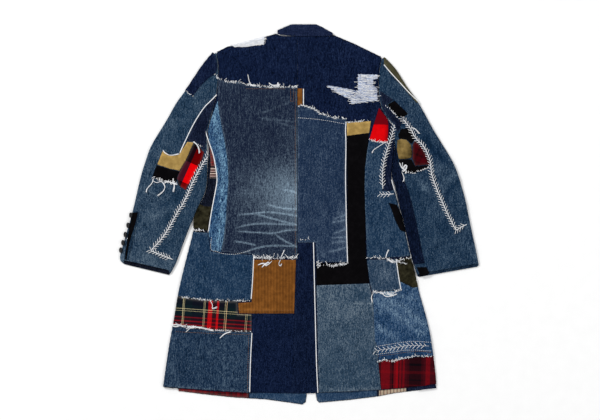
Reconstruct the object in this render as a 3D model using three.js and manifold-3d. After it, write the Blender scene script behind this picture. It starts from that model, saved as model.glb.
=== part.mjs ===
// A patched boro coat of denim, corduroy, plaid and twill, laid face down on a flat surface, its back up.
// Millimetres, +Z up. +Y points from the hem to the collar, and the wearer's left is -X.
// The origin is the middle of the coat's outline, on the surface that it lies on.
//
// From below: lapels and collar ends, the two fronts, the back with its two side panels, then the patches.
// Every back layer is a wall between two offsets of one height grid, cut to an outline seen from above,
// so a patch keeps the same small gap to the cloth under it everywhere.

import * as THREE from "three";
import { mergeVertices } from "three/addons/utils/BufferGeometryUtils.js";
import Module from "manifold-3d";

const wasm = await Module();
wasm.setup();

// Cloth
const GAP = 0.3; // between two pieces that touch
const FRONT_WALL = 1.8; // front panel: denim with its facing
const BACK_WALL = 1.6; // back and side panels
const SLEEVE_WALL = 2.4; // sleeve: denim with its sleeve lining
const PATCH_WALL = 1.2; // one sewn-on patch
const TURNED_WALL = 1.6; // lapel and collar leaf
const SEAM_INSET = GAP / 2 + 0.05; // a patch's outline goes in by this, to keep the gap from its neighbours
const ARMHOLE_GAP = 1; // between a body panel's armhole and the sleeve
const LAP = 0.5; // how far two parts of one piece run into each other where they join

// Lie of the coat
const LAPEL_RISE = 3; // how far the lapels and collar lift the fronts off the surface
const RISE_ACROSS = [140, 240]; // the lift fades between these distances from the middle
const RISE_ALONG = [-300, -120]; // and between these places along the coat
const MIDDLE_X = 16; // the neck's middle
const WAIST_Y = 100;
const WAIST_HALF = 250; // the body's half width down to the waist
const FLARE = 0.2; // what it gains for each millimetre below
const CLOSE_AIR = 0.4; // between fronts and back, at the middle
const EDGE_AIR = 2.2; // added to it along the side folds
const SHOULDER_ALONG = [380, 450]; // the added air closes between these places along the coat
const FOLD_REACH = 6; // how far the side fold's round goes in from the edge
const SLEEVE_HEIGHT = 8.6;
const SLEEVE_ROUND = 5; // reach of the round along a sleeve's edges
const CELL_X = 57; // steps of the height grid
const CELL_Y = 80;
const GRID_X = 399; // the grid reaches this far each way
const GRID_Y = 520;
const CUTTER_LOW = -20; // the upright prisms that cut layers to their outlines
const CUTTER_HEIGHT = 60;
const CUTTER_WIDTH = 1200; // wider than the coat

// Buttons
const FRONT_BUTTON_RADIUS = 10;
const FRONT_BUTTON_THICKNESS = 2.4;
const BUTTON_RADIUS = 7.5;
const BUTTON_THICKNESS = 3;
const BUTTON_SIDES = 16;
const BUTTON_ROUGHNESS = 0.35;
const BUTTON_LEAN = 0.95; // radians from upright, outwards over the sleeve's edge
const BUTTON_LIFT = 0.5; // thread shank between button and cloth
const BUTTON_BEVEL = 0.8; // of its back
const RIM_BEVEL = 1;
const RIM_WIDTH = 2.6;
const DISH_DEPTH = 0.8; // of the face inside the rim
const CUFF_BUTTON_ROWS = [-2, -29, -54, -76, -96]; // their places along the cuff
const FRONT_BUTTON_ROWS = [35, -45, -125];
const FRONT_BUTTON_X = 50;

// Where two pieces meet at an armhole, underarm to shoulder. Eight points each, one for each sleeve column.
const ARMHOLE_LEFT = [
  [-248, 163], [-249, 195], [-249, 228], [-236, 269], [-223, 322], [-219, 360], [-218, 400], [-223, 436],
];
const ARMHOLE_RIGHT = [
  [263, 210], [255, 243], [237, 262], [223, 285], [216, 320], [215, 355], [217, 390], [224, 421],
];

// Sleeve stations from the armhole to the cuff: a point on the outer edge, then one on the inner edge.
const SLEEVE_LEFT = [
  [-229, 441, -247, 158], [-258, 407, -249, 140], [-280, 374, -250, 118], [-307, 333, -250, 96],
  [-333, 299, -252, 74], [-356, 255, -260, 50], [-400, 186, -281, 8], [-414, 144, -290, -17],
  [-427, 104, -297, -38], [-447, 14, -312, -78], [-461, -35, -320, -100], [-474, -79, -326, -116],
  [-486, -121, -332, -134], [-472, -138, -347, -165],
];
const SLEEVE_RIGHT = [
  [227, 427, 263, 205], [248, 406, 259, 170], [265, 385, 256, 140], [287, 348, 252, 118],
  [308, 320, 250, 96], [328, 293, 257, 74], [360, 232, 270, 30], [380, 200, 276, 8], [404, 162, 282, -14],
  [425, 122, 287, -36], [448, 46, 296, -80], [456, 5, 301, -102], [465, -40, 307, -124],
  [475, -84, 313, -147], [486, -140, 320, -170],
];
const SLEEVE_JOIN = 2; // stations over which the armhole's curve straightens

// The body's folded edges, from underarm to hem, and the seams between back and side panels.
const EDGE_LEFT = [
  [-245, 156], [-247, 118], [-247, 96], [-249, 74], [-256, 50], [-269, 26], [-278, 5], [-284, -12],
  [-284, -47], [-298, -99], [-324, -203], [-337, -286], [-350, -354], [-366, -466],
];
const EDGE_RIGHT = [
  [259, 198], [253, 140], [248, 94], [255, 69], [263, 42], [279, -20], [290, -66], [301, -115],
  [316, -172], [322, -207], [341, -272], [354, -325], [366, -414], [370, -461],
];
const SEAM_LEFT = [
  [-247, 224], [-242, 197], [-231, 163], [-220, 94], [-225, 65], [-232, 30], [-238, -4], [-244, -47],
  [-262, -150], [-285, -290], [-312, -470],
];
const SEAM_RIGHT = [
  [255, 234], [248, 204], [237, 175], [228, 137], [224, 107], [226, 64], [232, 0], [245, -100],
  [268, -200], [300, -330], [318, -466],
];
const UNDER_LEG = 30; // side panel's width on the front side
const SHOULDER_LEFT = [[-219, 440], [-193, 453], [-89, 480], [-62, 488], [-45, 481]];
const SHOULDER_RIGHT = [[80, 481], [94, 484], [151, 460], [219, 427]];
const CENTRE_SEAM = -4;
const VENT_TOP = -80;
const UNDERLAP = 10; // how far the left back runs on under the vent
const COLLAR_FOLD_WIDTH = 3; // the strip that joins the collar's leaf to its stand

// Soft folds of the back, each a line with its half width and its height.
const BODY_FOLDS = [
  { from: [215, -250], to: [345, -345], width: 34, height: 3 },
  { from: [-205, -250], to: [-222, -480], width: 34, height: 2.4 },
  { from: [125, -240], to: [135, -480], width: 34, height: 2.2 },
  { from: [-110, 250], to: [-90, -40], width: 45, height: 1.6 },
];
const LEFT_SLEEVE_FOLDS = [
  { from: [-392, 165], to: [-325, 135], width: 17, height: 2.6 },
  { from: [-405, 110], to: [-330, 88], width: 15, height: -2 },
  { from: [-418, 62], to: [-350, 42], width: 18, height: 2.2 },
];
const RIGHT_SLEEVE_FOLDS = [
  { from: [324, 215], to: [397, 140], width: 16, height: -2 },
  { from: [356, 112], to: [410, 138], width: 17, height: 2.8 },
  { from: [375, 70], to: [428, 96], width: 17, height: 2.4 },
];

const COLOURS = {
  navy: 0x121e3c, indigo: 0x1f3350, teal: 0x284b69, middleBlue: 0x24456b, faded: 0x55697a,
  bleached: 0x5f8caf, tan: 0xa88d50, corduroy: 0x7d4b14, brightRed: 0xc80a0a, darkRed: 0x6e0a1e,
  tartan: 0x18242c, olive: 0x262418, khaki: 0x4a4530, black: 0x0a0a0c, white: 0xd8dadc, cream: 0xb9a68a,
};

// ---- small geometry helpers ----

const mix = (a, b, t) => a + (b - a) * t;
const shifted = (points, dx) => points.map(([x, y]) => [x + dx, y]);

function ramp(value, start, end) {
  const t = Math.min(1, Math.max(0, (value - start) / (end - start)));
  return t * t * (3 - 2 * t);
}

// How high a fold stands at a point: a soft ridge along its line.
function foldHeight(fold, x, y) {
  const [ax, ay] = fold.from;
  const dx = fold.to[0] - ax;
  const dy = fold.to[1] - ay;
  const along = Math.min(1, Math.max(0, ((x - ax) * dx + (y - ay) * dy) / (dx * dx + dy * dy)));
  const away = Math.hypot(x - ax - dx * along, y - ay - dy * along) / fold.width;
  return fold.height * Math.exp(-away * away);
}

const foldsAt = (folds, x, y) => folds.reduce((sum, fold) => sum + foldHeight(fold, x, y), 0);

function area(outline) {
  return outline.reduce((sum, [x, y], i) => {
    const [nextX, nextY] = outline[(i + 1) % outline.length];
    return sum + (x * nextY - nextX * y) / 2;
  }, 0);
}

// An outline with each side moved inwards by d.
function inset(outline, d) {
  const ring = area(outline) > 0 ? outline : [...outline].reverse();
  const count = ring.length;
  const normal = (i) => {
    const [ax, ay] = ring[i % count];
    const [bx, by] = ring[(i + 1) % count];
    const length = Math.hypot(bx - ax, by - ay);
    return [(ay - by) / length, (bx - ax) / length];
  };
  return ring.map(([x, y], i) => {
    const [px, py] = normal(i + count - 1);
    const [qx, qy] = normal(i);
    const scale = d / Math.max(0.3, 1 + px * qx + py * qy);
    return [x + (px + qx) * scale, y + (py + qy) * scale];
  });
}

// ---- solids ----

function solid(points, triangles) {
  const make = (list) => new wasm.Manifold(new wasm.Mesh({
    numProp: 3,
    vertProperties: new Float32Array(points.flat()),
    triVerts: new Uint32Array(list.flat()),
  }));
  const made = make(triangles);
  return made.volume() > 0 ? made : make(triangles.map(([a, b, c]) => [a, c, b]));
}

function solidOf(geometry) {
  const bare = geometry.clone();
  bare.deleteAttribute("normal");
  bare.deleteAttribute("uv");
  const merged = mergeVertices(bare, 1e-4);
  return new wasm.Manifold(new wasm.Mesh({
    numProp: 3,
    vertProperties: new Float32Array(merged.attributes.position.array),
    triVerts: new Uint32Array(merged.index.array),
  }));
}

function prism(outline) {
  const shape = new THREE.Shape(outline.map(([x, y]) => new THREE.Vector2(x, y)));
  const geometry = new THREE.ExtrudeGeometry(shape, { depth: CUTTER_HEIGHT, bevelEnabled: false });
  return solidOf(geometry.translate(0, 0, CUTTER_LOW));
}

// The wall between two offsets of a grid of points.
function wall(grid, low, high) {
  const rows = grid.length;
  const columns = grid[0].length;
  const points = [low, high].flatMap((offset) => grid.flat().map(([x, y, z]) => [x, y, z + offset]));
  const at = (j, i, layer) => layer * rows * columns + j * columns + i;
  const triangles = [];
  const quad = (a, b, c, d) => triangles.push([a, b, c], [a, c, d]);
  for (let j = 0; j + 1 < rows; j++)
    for (let i = 0; i + 1 < columns; i++) {
      quad(at(j, i, 1), at(j, i + 1, 1), at(j + 1, i + 1, 1), at(j + 1, i, 1));
      triangles.push([at(j, i, 0), at(j + 1, i + 1, 0), at(j, i + 1, 0)]);
      triangles.push([at(j, i, 0), at(j + 1, i, 0), at(j + 1, i + 1, 0)]);
    }
  for (let i = 0; i + 1 < columns; i++) {
    quad(at(0, i, 0), at(0, i + 1, 0), at(0, i + 1, 1), at(0, i, 1));
    quad(at(rows - 1, i + 1, 0), at(rows - 1, i, 0), at(rows - 1, i, 1), at(rows - 1, i + 1, 1));
  }
  for (let j = 0; j + 1 < rows; j++) {
    quad(at(j + 1, 0, 0), at(j, 0, 0), at(j, 0, 1), at(j + 1, 0, 1));
    quad(at(j, columns - 1, 0), at(j + 1, columns - 1, 0), at(j + 1, columns - 1, 1), at(j, columns - 1, 1));
  }
  return solid(points, triangles);
}

// The part of a regular grid that covers an outline.
function cover(grid, outline) {
  const xs = outline.map(([x]) => x);
  const ys = outline.map(([, y]) => y);
  const columns = grid[0].map((_, i) => i).filter((i) =>
    grid[0][i][0] > Math.min(...xs) - CELL_X && grid[0][i][0] < Math.max(...xs) + CELL_X);
  const rows = grid.filter(([[, y]]) => y > Math.min(...ys) - CELL_Y && y < Math.max(...ys) + CELL_Y);
  return rows.map((row) => columns.map((i) => row[i]));
}

const layer = (grid, outline, low, high) => wall(cover(grid, outline), low, high).intersect(prism(outline));
const sleeveLayer = (grid, outline, low, high) => wall(grid, low, high).intersect(prism(outline));

// ---- heights ----

function bodyGrid(height) {
  const rows = [];
  for (let y = -GRID_Y; y <= GRID_Y; y += CELL_Y) {
    const row = [];
    for (let x = -GRID_X; x <= GRID_X; x += CELL_X) row.push([x, y, height(x, y)]);
    rows.push(row);
  }
  return rows;
}

// Underside of the fronts: flat on the surface, and lifted by the lapels over the chest.
function frontRest(x, y) {
  const across = 1 - ramp(Math.abs(x - MIDDLE_X), ...RISE_ACROSS);
  return LAPEL_RISE * across * ramp(y, ...RISE_ALONG);
}

const frontTop = (x, y) => frontRest(x, y) + FRONT_WALL;

// Upper face of the back panels.
function backTop(x, y) {
  const halfWidth = WAIST_HALF + FLARE * Math.max(0, WAIST_Y - y);
  const share = Math.min(1.05, Math.abs(x - MIDDLE_X / 2) / halfWidth);
  const air = CLOSE_AIR + EDGE_AIR * share ** 4 * (1 - ramp(y, ...SHOULDER_ALONG));
  return frontTop(x, y) + air + BACK_WALL + foldsAt(BODY_FOLDS, x, y);
}

const frontGrid = bodyGrid(frontTop);
const backGrid = bodyGrid(backTop);

const onBack = (outline, level = 0) => {
  const low = GAP + level * (PATCH_WALL + GAP);
  return layer(backGrid, inset(outline, SEAM_INSET), low, low + PATCH_WALL);
};

// ---- side panels ----

// The half-round fold along an edge, with the side panel's wall.
function edgeFold(edge, side) {
  const angles = [0, 45, 90, 135, 180].map((degrees) => (degrees * Math.PI) / 180);
  const rings = edge.map(([x, y]) => {
    const centre = x - side * FOLD_REACH;
    const half = backTop(centre, y) / 2;
    const arc = (reach, rise) => angles.map((a) =>
      [centre + side * reach * Math.sin(a), y, half + rise * Math.cos(a)]);
    return [...arc(FOLD_REACH, half), ...arc(FOLD_REACH - BACK_WALL, half - BACK_WALL).reverse()];
  });
  return loft(rings);
}

// A solid through closed rings of points, with flat ends.
function loft(rings) {
  const count = rings[0].length;
  const half = count / 2;
  const triangles = [];
  for (let j = 0; j + 1 < rings.length; j++)
    for (let i = 0; i < count; i++) {
      const next = (i + 1) % count;
      const [a, b] = [j * count + i, j * count + next];
      triangles.push([a, b, b + count], [a, b + count, a + count]);
    }
  for (const [start, flip] of [[0, true], [(rings.length - 1) * count, false]])
    for (let i = 0; i + 1 < half; i++) {
      const [a, b, c, d] = [i, i + 1, count - 2 - i, count - 1 - i].map((k) => start + k);
      const faces = [[a, b, c], [a, c, d]];
      triangles.push(...(flip ? faces.map(([p, q, r]) => [p, r, q]) : faces));
    }
  return solid(rings.flat(), triangles);
}

function sidePanel(edge, seam, side) {
  const inner = shifted(edge, -side * (FOLD_REACH - LAP));
  const upperLeg = [...shifted(seam, side * GAP), ...[...inner].reverse()];
  const underLeg = [...shifted(edge, -side * UNDER_LEG), ...[...inner].reverse()];
  return layer(backGrid, upperLeg, -BACK_WALL, 0)
    .add(edgeFold(edge, side))
    .add(layer(frontGrid, underLeg, -FRONT_WALL, 0));
}

// ---- sleeves ----

function sleeveTop(stations, armhole, folds) {
  const last = armhole.length - 1;
  return stations.map(([outX, outY, inX, inY], j) => {
    const roundShare = SLEEVE_ROUND / Math.hypot(outX - inX, outY - inY);
    const share = Math.min(1, j / SLEEVE_JOIN);
    return armhole.map(([holeX, holeY], i) => {
      const t = mix(roundShare, 1 - roundShare, i / last);
      const x = mix(holeX, mix(inX, outX, t), share);
      const y = mix(holeY, mix(inY, outY, t), share);
      return [x, y, SLEEVE_HEIGHT + foldsAt(folds, x, y)];
    });
  });
}

// A closed section of a flattened sleeve: along the top, round the outer edge, back below and round
// the inner edge.
function sleeveSection(top, station, depth) {
  const roundAngles = [45, 90, 135].map((degrees) => (degrees * Math.PI) / 180);
  const [outX, outY, inX, inY] = station;
  const bend = ([x, y, z], [edgeX, edgeY], angles) => {
    const length = Math.hypot(edgeX - x, edgeY - y);
    const reach = (length - depth) / length;
    return angles.map((a) => [
      mix(x, edgeX, reach * Math.sin(a)),
      mix(y, edgeY, reach * Math.sin(a)),
      z / 2 + (z / 2 - depth) * Math.cos(a),
    ]);
  };
  return [
    ...top.map(([x, y, z]) => [x, y, z - depth]),
    ...bend(top.at(-1), [outX, outY], roundAngles),
    ...[...top].reverse().map(([x, y]) => [x, y, depth]),
    ...bend(top[0], [inX, inY], [...roundAngles].reverse()),
  ];
}

// A tube with open ends between its outer and inner sections.
function sleeveTube(top, stations) {
  const outer = top.map((row, j) => sleeveSection(row, stations[j], 0));
  const inner = top.map((row, j) => sleeveSection(row, stations[j], SLEEVE_WALL));
  const count = outer[0].length;
  const offset = outer.length * count;
  const triangles = [];
  const quad = (a, b, c, d) => triangles.push([a, b, c], [a, c, d]);
  for (let j = 0; j + 1 < outer.length; j++)
    for (let i = 0; i < count; i++) {
      const a = j * count + i;
      const b = j * count + ((i + 1) % count);
      if (i + 1 < top[0].length) quad(a, b, b + count, a + count);
      else triangles.push([a, b, a + count], [b, b + count, a + count]);
      triangles.push([offset + a, offset + b + count, offset + b]);
      triangles.push([offset + a, offset + a + count, offset + b + count]);
    }
  for (let i = 0; i < count; i++) {
    const next = (i + 1) % count;
    quad(offset + i, offset + next, next, i);
    const end = (outer.length - 1) * count;
    quad(end + i, end + next, offset + end + next, offset + end + i);
  }
  return solid([...outer.flat(), ...inner.flat()], triangles);
}

const leftTop = sleeveTop(SLEEVE_LEFT, ARMHOLE_LEFT, LEFT_SLEEVE_FOLDS);
const rightTop = sleeveTop(SLEEVE_RIGHT, ARMHOLE_RIGHT, RIGHT_SLEEVE_FOLDS);
const onSleeve = (top, outline) => sleeveLayer(top, inset(outline, SEAM_INSET), GAP, GAP + PATCH_WALL);
const onLeftSleeve = (outline) => onSleeve(leftTop, outline);
const onRightSleeve = (outline) => onSleeve(rightTop, outline);

// ---- body panels ----

const bodyArmholeLeft = shifted(ARMHOLE_LEFT, ARMHOLE_GAP);
const bodyArmholeRight = shifted(ARMHOLE_RIGHT, -ARMHOLE_GAP);

function backLeft() {
  const outline = [
    [CENTRE_SEAM - GAP, 481], ...[...SHOULDER_LEFT].reverse(), ...[...bodyArmholeLeft.slice(3)].reverse(),
    ...SEAM_LEFT, [-232, -477], [-138, -481], [UNDERLAP, -483], [UNDERLAP, VENT_TOP],
    [CENTRE_SEAM - GAP, VENT_TOP],
  ];
  return layer(backGrid, outline, -BACK_WALL, 0);
}

function backRight() {
  const outline = [
    [CENTRE_SEAM, 481], ...SHOULDER_RIGHT, ...[...bodyArmholeRight.slice(2)].reverse(), ...SEAM_RIGHT,
    [292, -468], [221, -474], [54, -482], [UNDERLAP + GAP, -483], [UNDERLAP + GAP, VENT_TOP + GAP],
    [CENTRE_SEAM, VENT_TOP + GAP],
  ];
  return layer(backGrid, outline, -BACK_WALL, 0);
}

function frontLeft() {
  const outline = [
    [21, -487], [18, -506], [9, -513], [-39, -506], [-90, -499], [-175, -494], [-241, -487], [-308, -479],
    ...shifted([...EDGE_LEFT].reverse(), UNDER_LEG + GAP), [-228, 200], ...bodyArmholeLeft.slice(3),
    ...SHOULDER_LEFT, [-48, 470], [14, 60],
  ];
  return layer(frontGrid, outline, -FRONT_WALL, 0);
}

function frontRight() {
  const outline = [
    [46, -490], [49, -502], [54, -508], [142, -500], [213, -491], [254, -483], [292, -478], [330, -474],
    ...shifted([...EDGE_RIGHT].reverse(), -UNDER_LEG - GAP), [228, 240], ...bodyArmholeRight.slice(3),
    ...[...SHOULDER_RIGHT].reverse(), [81, 470], [22, 60], [40, -200],
  ];
  return layer(frontGrid, outline, -FRONT_WALL, 0);
}

// A collar leaf folded over its stand, along the back of the neck.
function collar() {
  const foldLine = [[-58, 497], [-24, 512], [-19, 513], [46, 513], [62, 506], [91, 490]];
  const lowered = (distance) => foldLine.map(([x, y]) => [x, y - distance]);
  const inner = lowered(COLLAR_FOLD_WIDTH);
  const stand = [...inner, [91, 486], [80, 482], [-45, 482], [-58, 491]];
  const leaf = [...inner, [91, 486], [43, 484], [3, 484], [-24, 487], [-58, 491]];
  const fold = [...foldLine, ...lowered(COLLAR_FOLD_WIDTH + LAP).reverse()];
  const leafHigh = GAP + TURNED_WALL;
  return layer(backGrid, stand, -BACK_WALL, 0)
    .add(layer(backGrid, leaf, GAP, leafHigh))
    .add(layer(backGrid, fold, -BACK_WALL, leafHigh));
}

// A flat wall on the surface that the coat lies on.
const turned = (outline) => prism(outline).intersect(solidOf(
  new THREE.BoxGeometry(CUTTER_WIDTH, CUTTER_WIDTH, TURNED_WALL).translate(0, 0, TURNED_WALL / 2),
));

// ---- buttons ----

// A sew-through button: a disc with a dished face inside a raised rim, its back at z = 0.
function buttonGeometry(radius, thickness) {
  const dish = thickness - DISH_DEPTH;
  const profile = [
    [0, 0], [radius - BUTTON_BEVEL, 0], [radius, thickness / 2], [radius - RIM_BEVEL, thickness],
    [radius - RIM_WIDTH, dish], [0, dish],
  ].map(([x, y]) => new THREE.Vector2(x, y));
  return new THREE.LatheGeometry(profile, BUTTON_SIDES).rotateX(Math.PI / 2);
}

// ---- the scene graph ----

const coat = new THREE.Group();
coat.name = "boro_coat";

function addMesh(name, geometry, colour, roughness = 0.95) {
  const material = new THREE.MeshStandardMaterial({ color: COLOURS[colour], roughness, metalness: 0 });
  const mesh = new THREE.Mesh(geometry, material);
  mesh.name = name;
  coat.add(mesh);
  return mesh;
}

function addCloth(name, cloth, colour) {
  const { vertProperties, triVerts } = cloth.getMesh();
  const geometry = new THREE.BufferGeometry();
  geometry.setAttribute("position", new THREE.BufferAttribute(vertProperties, 3));
  geometry.setIndex(new THREE.BufferAttribute(triVerts, 1));
  geometry.computeVertexNormals();
  addMesh(name, geometry, colour);
}

function addPanels() {
  addCloth("front_left", frontLeft(), "indigo");
  addCloth("front_right", frontRight(), "indigo");
  addCloth("lapel_left", turned([
    [12, 70], [-50, 180], [-96, 320], [-112, 372], [-72, 392], [-46, 440],
  ]), "navy");
  addCloth("lapel_right", turned([
    [24, 70], [84, 180], [130, 320], [146, 372], [105, 392], [79, 440],
  ]), "navy");
  addCloth("collar_end_left", turned([
    [-46, 441], [-72, 393], [-112, 373], [-128, 410], [-100, 452], [-60, 484],
  ]), "navy");
  addCloth("collar_end_right", turned([
    [79, 441], [105, 393], [146, 373], [160, 408], [132, 450], [92, 480],
  ]), "navy");
  addCloth("collar", collar(), "navy");
  addCloth("back_left", backLeft(), "navy");
  addCloth("back_right", backRight(), "navy");
  addCloth("side_left", sidePanel(EDGE_LEFT, SEAM_LEFT, -1), "indigo");
  addCloth("side_right", sidePanel(EDGE_RIGHT, SEAM_RIGHT, 1), "navy");
}

function addUpperPatches() {
  addCloth("patch_shoulder_shredded", onBack([[-188, 452], [-92, 477], [-95, 460], [-140, 452]]), "white");
  addCloth("patch_faded_left", onBack([
    [-219, 366], [-189, 357], [-162, 357], [-143, 350], [-116, 346], [-5, 344], [-5, -117], [-122, -117],
    [-124, -107], [-210, -101], [-203, -63], [-197, -12], [-194, 39], [-190, 90], [-193, 150], [-201, 201],
    [-211, 250], [-217, 290],
  ]), "indigo");
  addCloth("strip_bleached_left", onBack([
    [-219, 306], [-217, 290], [-211, 250], [-201, 201], [-193, 150], [-190, 90], [-194, 39], [-197, -12],
    [-203, -63], [-210, -101], [-236, -97], [-244, -47], [-238, -4], [-232, 30], [-225, 65], [-220, 94],
    [-224, 125], [-231, 163], [-242, 197], [-246, 224], [-238, 256],
  ]), "bleached");
  addCloth("strip_corduroy_neck", onBack([[-4, 340], [9, 340], [9, 296], [-4, 294]]), "corduroy");
  addCloth("patch_centre_blue", onBack([
    [-4, 292], [15, 293], [42, 284], [55, 272], [97, 259], [128, 258], [125, 228], [125, 99], [127, 23],
    [128, -42], [131, -129], [48, -127], [46, -76], [-4, -76],
  ]), "middleBlue");
  addCloth("patch_shredded_right", onBack([
    [159, 379], [212, 377], [212, 366], [200, 362], [200, 348], [211, 340], [212, 306], [178, 303],
    [141, 297], [139, 312], [126, 315], [100, 330], [74, 348], [100, 345], [126, 340], [146, 336],
    [159, 333],
  ]), "white");
  addCloth("strip_tan", onBack([[129, 248], [194, 252], [189, 220], [129, 212]]), "tan");
  addCloth("patch_black_corner", onBack([
    [129, 212], [189, 219], [184, 174], [178, 127], [177, 80], [178, 23], [181, -109], [184, -136],
    [190, -185], [97, -189], [46, -190], [46, -130], [131, -130],
  ]), "black");
  addCloth("patch_red", onBack([
    [216, 288], [240, 256], [241, 242], [240, 193], [205, 196], [190, 202], [202, 244],
  ]), "brightRed");
  addCloth("patch_teal_right", onBack([
    [189, 201], [205, 195], [240, 192], [237, 175], [228, 137], [224, 107], [226, 64], [240, 63], [246, 62],
    [257, 42], [273, -20], [284, -66], [294, -113], [184, -119], [178, 23], [177, 80], [178, 127],
    [184, 174],
  ]), "teal");
  addCloth("wedge_black", onBack([
    [242, 30], [259, 26], [274, -23], [280, -52], [270, -36], [259, -14], [250, 14],
  ], 1), "black");
  addCloth("sliver_plaid_left", onBack([
    [-241, 184], [-232, 163], [-226, 130], [-238, 130], [-239, 156],
  ]), "darkRed");
  addCloth("sliver_striped_left", onBack([[-238, 128], [-225, 128], [-221, 98], [-241, 98]]), "cream");
  addCloth("sliver_olive_left", onBack([
    [-262, 22], [-235, 22], [-241, -4], [-247, -44], [-277, -36],
  ]), "olive");
}

function addSkirtPatches() {
  addCloth("panel_vent", onBack([
    [-4, -78], [39, -77], [41, -155], [44, -279], [47, -404], [51, -482], [-20, -482], [-16, -412],
    [-11, -267], [-4, -118],
  ]), "navy");
  addCloth("patch_corduroy", onBack([
    [-121, -122], [-8, -122], [-13, -267], [-162, -267], [-164, -238], [-128, -236],
  ]), "corduroy");
  addCloth("patch_hip_left", onBack([
    [-279, -48], [-245, -49], [-238, -99], [-211, -104], [-124, -109], [-122, -116], [-129, -232],
    [-251, -231], [-316, -222], [-292, -99],
  ]), "teal");
  addCloth("patch_tartan", onBack([
    [-317, -223], [-251, -232], [-166, -234], [-165, -269], [-128, -269], [-128, -317], [-232, -313],
    [-311, -303], [-334, -300],
  ]), "tartan");
  addCloth("patch_hem_left", onBack([
    [-333, -301], [-311, -304], [-232, -314], [-127, -318], [-133, -481], [-359, -465],
  ]), "teal");
  addCloth("patch_light_denim", onBack([
    [47, -191], [190, -186], [194, -207], [200, -242], [204, -339], [211, -358], [214, -400], [221, -473],
    [54, -481],
  ]), "faded");
  addCloth("patch_small_denim", onBack([
    [183, -122], [262, -121], [275, -204], [197, -208], [190, -178],
  ]), "middleBlue");
  addCloth("patch_olive", onBack([
    [263, -121], [294, -115], [307, -168], [316, -202], [293, -190], [271, -180],
  ]), "olive");
  addCloth("patch_hip_right", onBack([
    [198, -209], [275, -205], [271, -180], [293, -190], [316, -203], [335, -272], [346, -325], [348, -371],
    [349, -382], [321, -383], [275, -390], [231, -392], [215, -397], [211, -358], [204, -339], [200, -242],
  ]), "faded");
  addCloth("patch_plaid_hem", onBack([
    [214, -400], [231, -393], [275, -391], [321, -384], [350, -383], [355, -414], [358, -458], [338, -462],
    [292, -467], [222, -472],
  ]), "darkRed");
}

function addLeftSleeve() {
  addCloth("sleeve_left", sleeveTube(leftTop, SLEEVE_LEFT), "teal");
  addCloth("sleeve_left_cap", onLeftSleeve([
    [-225, 432], [-254, 402], [-276, 369], [-302, 331], [-287, 318], [-266, 346], [-246, 366], [-224, 380],
    [-220, 400],
  ]), "navy");
  addCloth("sleeve_left_tan", onLeftSleeve([
    [-366, 173], [-348, 159], [-332, 161], [-321, 165], [-301, 196], [-284, 194], [-306, 145], [-322, 118],
    [-350, 124], [-382, 135],
  ]), "tan");
  addCloth("sleeve_left_black", onLeftSleeve([
    [-384, 133], [-350, 123], [-322, 116], [-329, 100], [-331, 82], [-373, 90], [-395, 102],
  ]), "black");
  addCloth("sleeve_left_plaid", onLeftSleeve([
    [-282, 194], [-274, 190], [-256, 168], [-261, 148], [-306, 66], [-324, 78], [-329, 97], [-321, 117],
    [-306, 144],
  ]), "brightRed");
  addCloth("cuff_left_placket", onLeftSleeve([
    [-441, 8], [-430, 8], [-446, -66], [-460, -122], [-472, -120], [-466, -79], [-454, -35],
  ]), "teal");
}

function addRightSleeve() {
  addCloth("sleeve_right", sleeveTube(rightTop, SLEEVE_RIGHT), "teal");
  addCloth("sleeve_right_shoulder_strip", onRightSleeve([
    [231, 417], [246, 400], [261, 380], [281, 348], [274, 353], [248, 381], [231, 402],
  ]), "khaki");
  addCloth("sleeve_right_black_upper", onRightSleeve([
    [238, 296], [258, 307], [294, 272], [281, 261], [266, 263],
  ]), "black");
  addCloth("sleeve_right_black_middle", onRightSleeve([
    [275, 231], [298, 232], [313, 204], [303, 190], [290, 202], [270, 205], [267, 213],
  ]), "black");
  addCloth("sleeve_right_tan", onRightSleeve([
    [265, 200], [275, 204], [290, 201], [302, 188], [305, 166], [303, 153], [286, 149], [269, 150],
    [264, 175],
  ]), "tan");
  addCloth("sleeve_right_plaid", onRightSleeve([
    [313, 200], [332, 180], [349, 150], [353, 135], [313, 131], [306, 150], [306, 187],
  ]), "darkRed");
  addCloth("sleeve_right_black_lower", onRightSleeve([
    [269, 148], [303, 149], [313, 130], [351, 133], [349, 126], [324, 116], [313, 112], [283, 111],
    [272, 131],
  ]), "black");
  addCloth("cuff_right_black", onRightSleeve([
    [317, -142], [344, -142], [352, -158], [346, -164], [327, -167],
  ]), "black");
}

function addCuffButtons() {
  const edge = SLEEVE_LEFT.map(([x, y]) => [x, y]);
  const onEdge = (y) => {
    const i = edge.findIndex((point, k) => k > 0 && point[1] <= y);
    const t = (edge[i - 1][1] - y) / (edge[i - 1][1] - edge[i][1]);
    return mix(edge[i - 1][0], edge[i][0], t);
  };
  const tilt = new THREE.Quaternion().setFromAxisAngle(new THREE.Vector3(0, 1, 0), -BUTTON_LEAN);
  const outward = new THREE.Vector3(0, 0, 1).applyQuaternion(tilt);
  const half = SLEEVE_HEIGHT / 2;
  CUFF_BUTTON_ROWS.forEach((y, i) => {
    const geometry = buttonGeometry(BUTTON_RADIUS, BUTTON_THICKNESS);
    const mesh = addMesh(`cuff_button_${i + 1}`, geometry, "black", BUTTON_ROUGHNESS);
    const centre = new THREE.Vector3(onEdge(y) + SLEEVE_ROUND, y, half);
    const reach = Math.hypot(SLEEVE_ROUND * outward.x, half * outward.z) + PATCH_WALL + GAP + BUTTON_LIFT;
    mesh.quaternion.copy(tilt);
    mesh.position.copy(centre.addScaledVector(outward, reach));
  });
}

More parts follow.
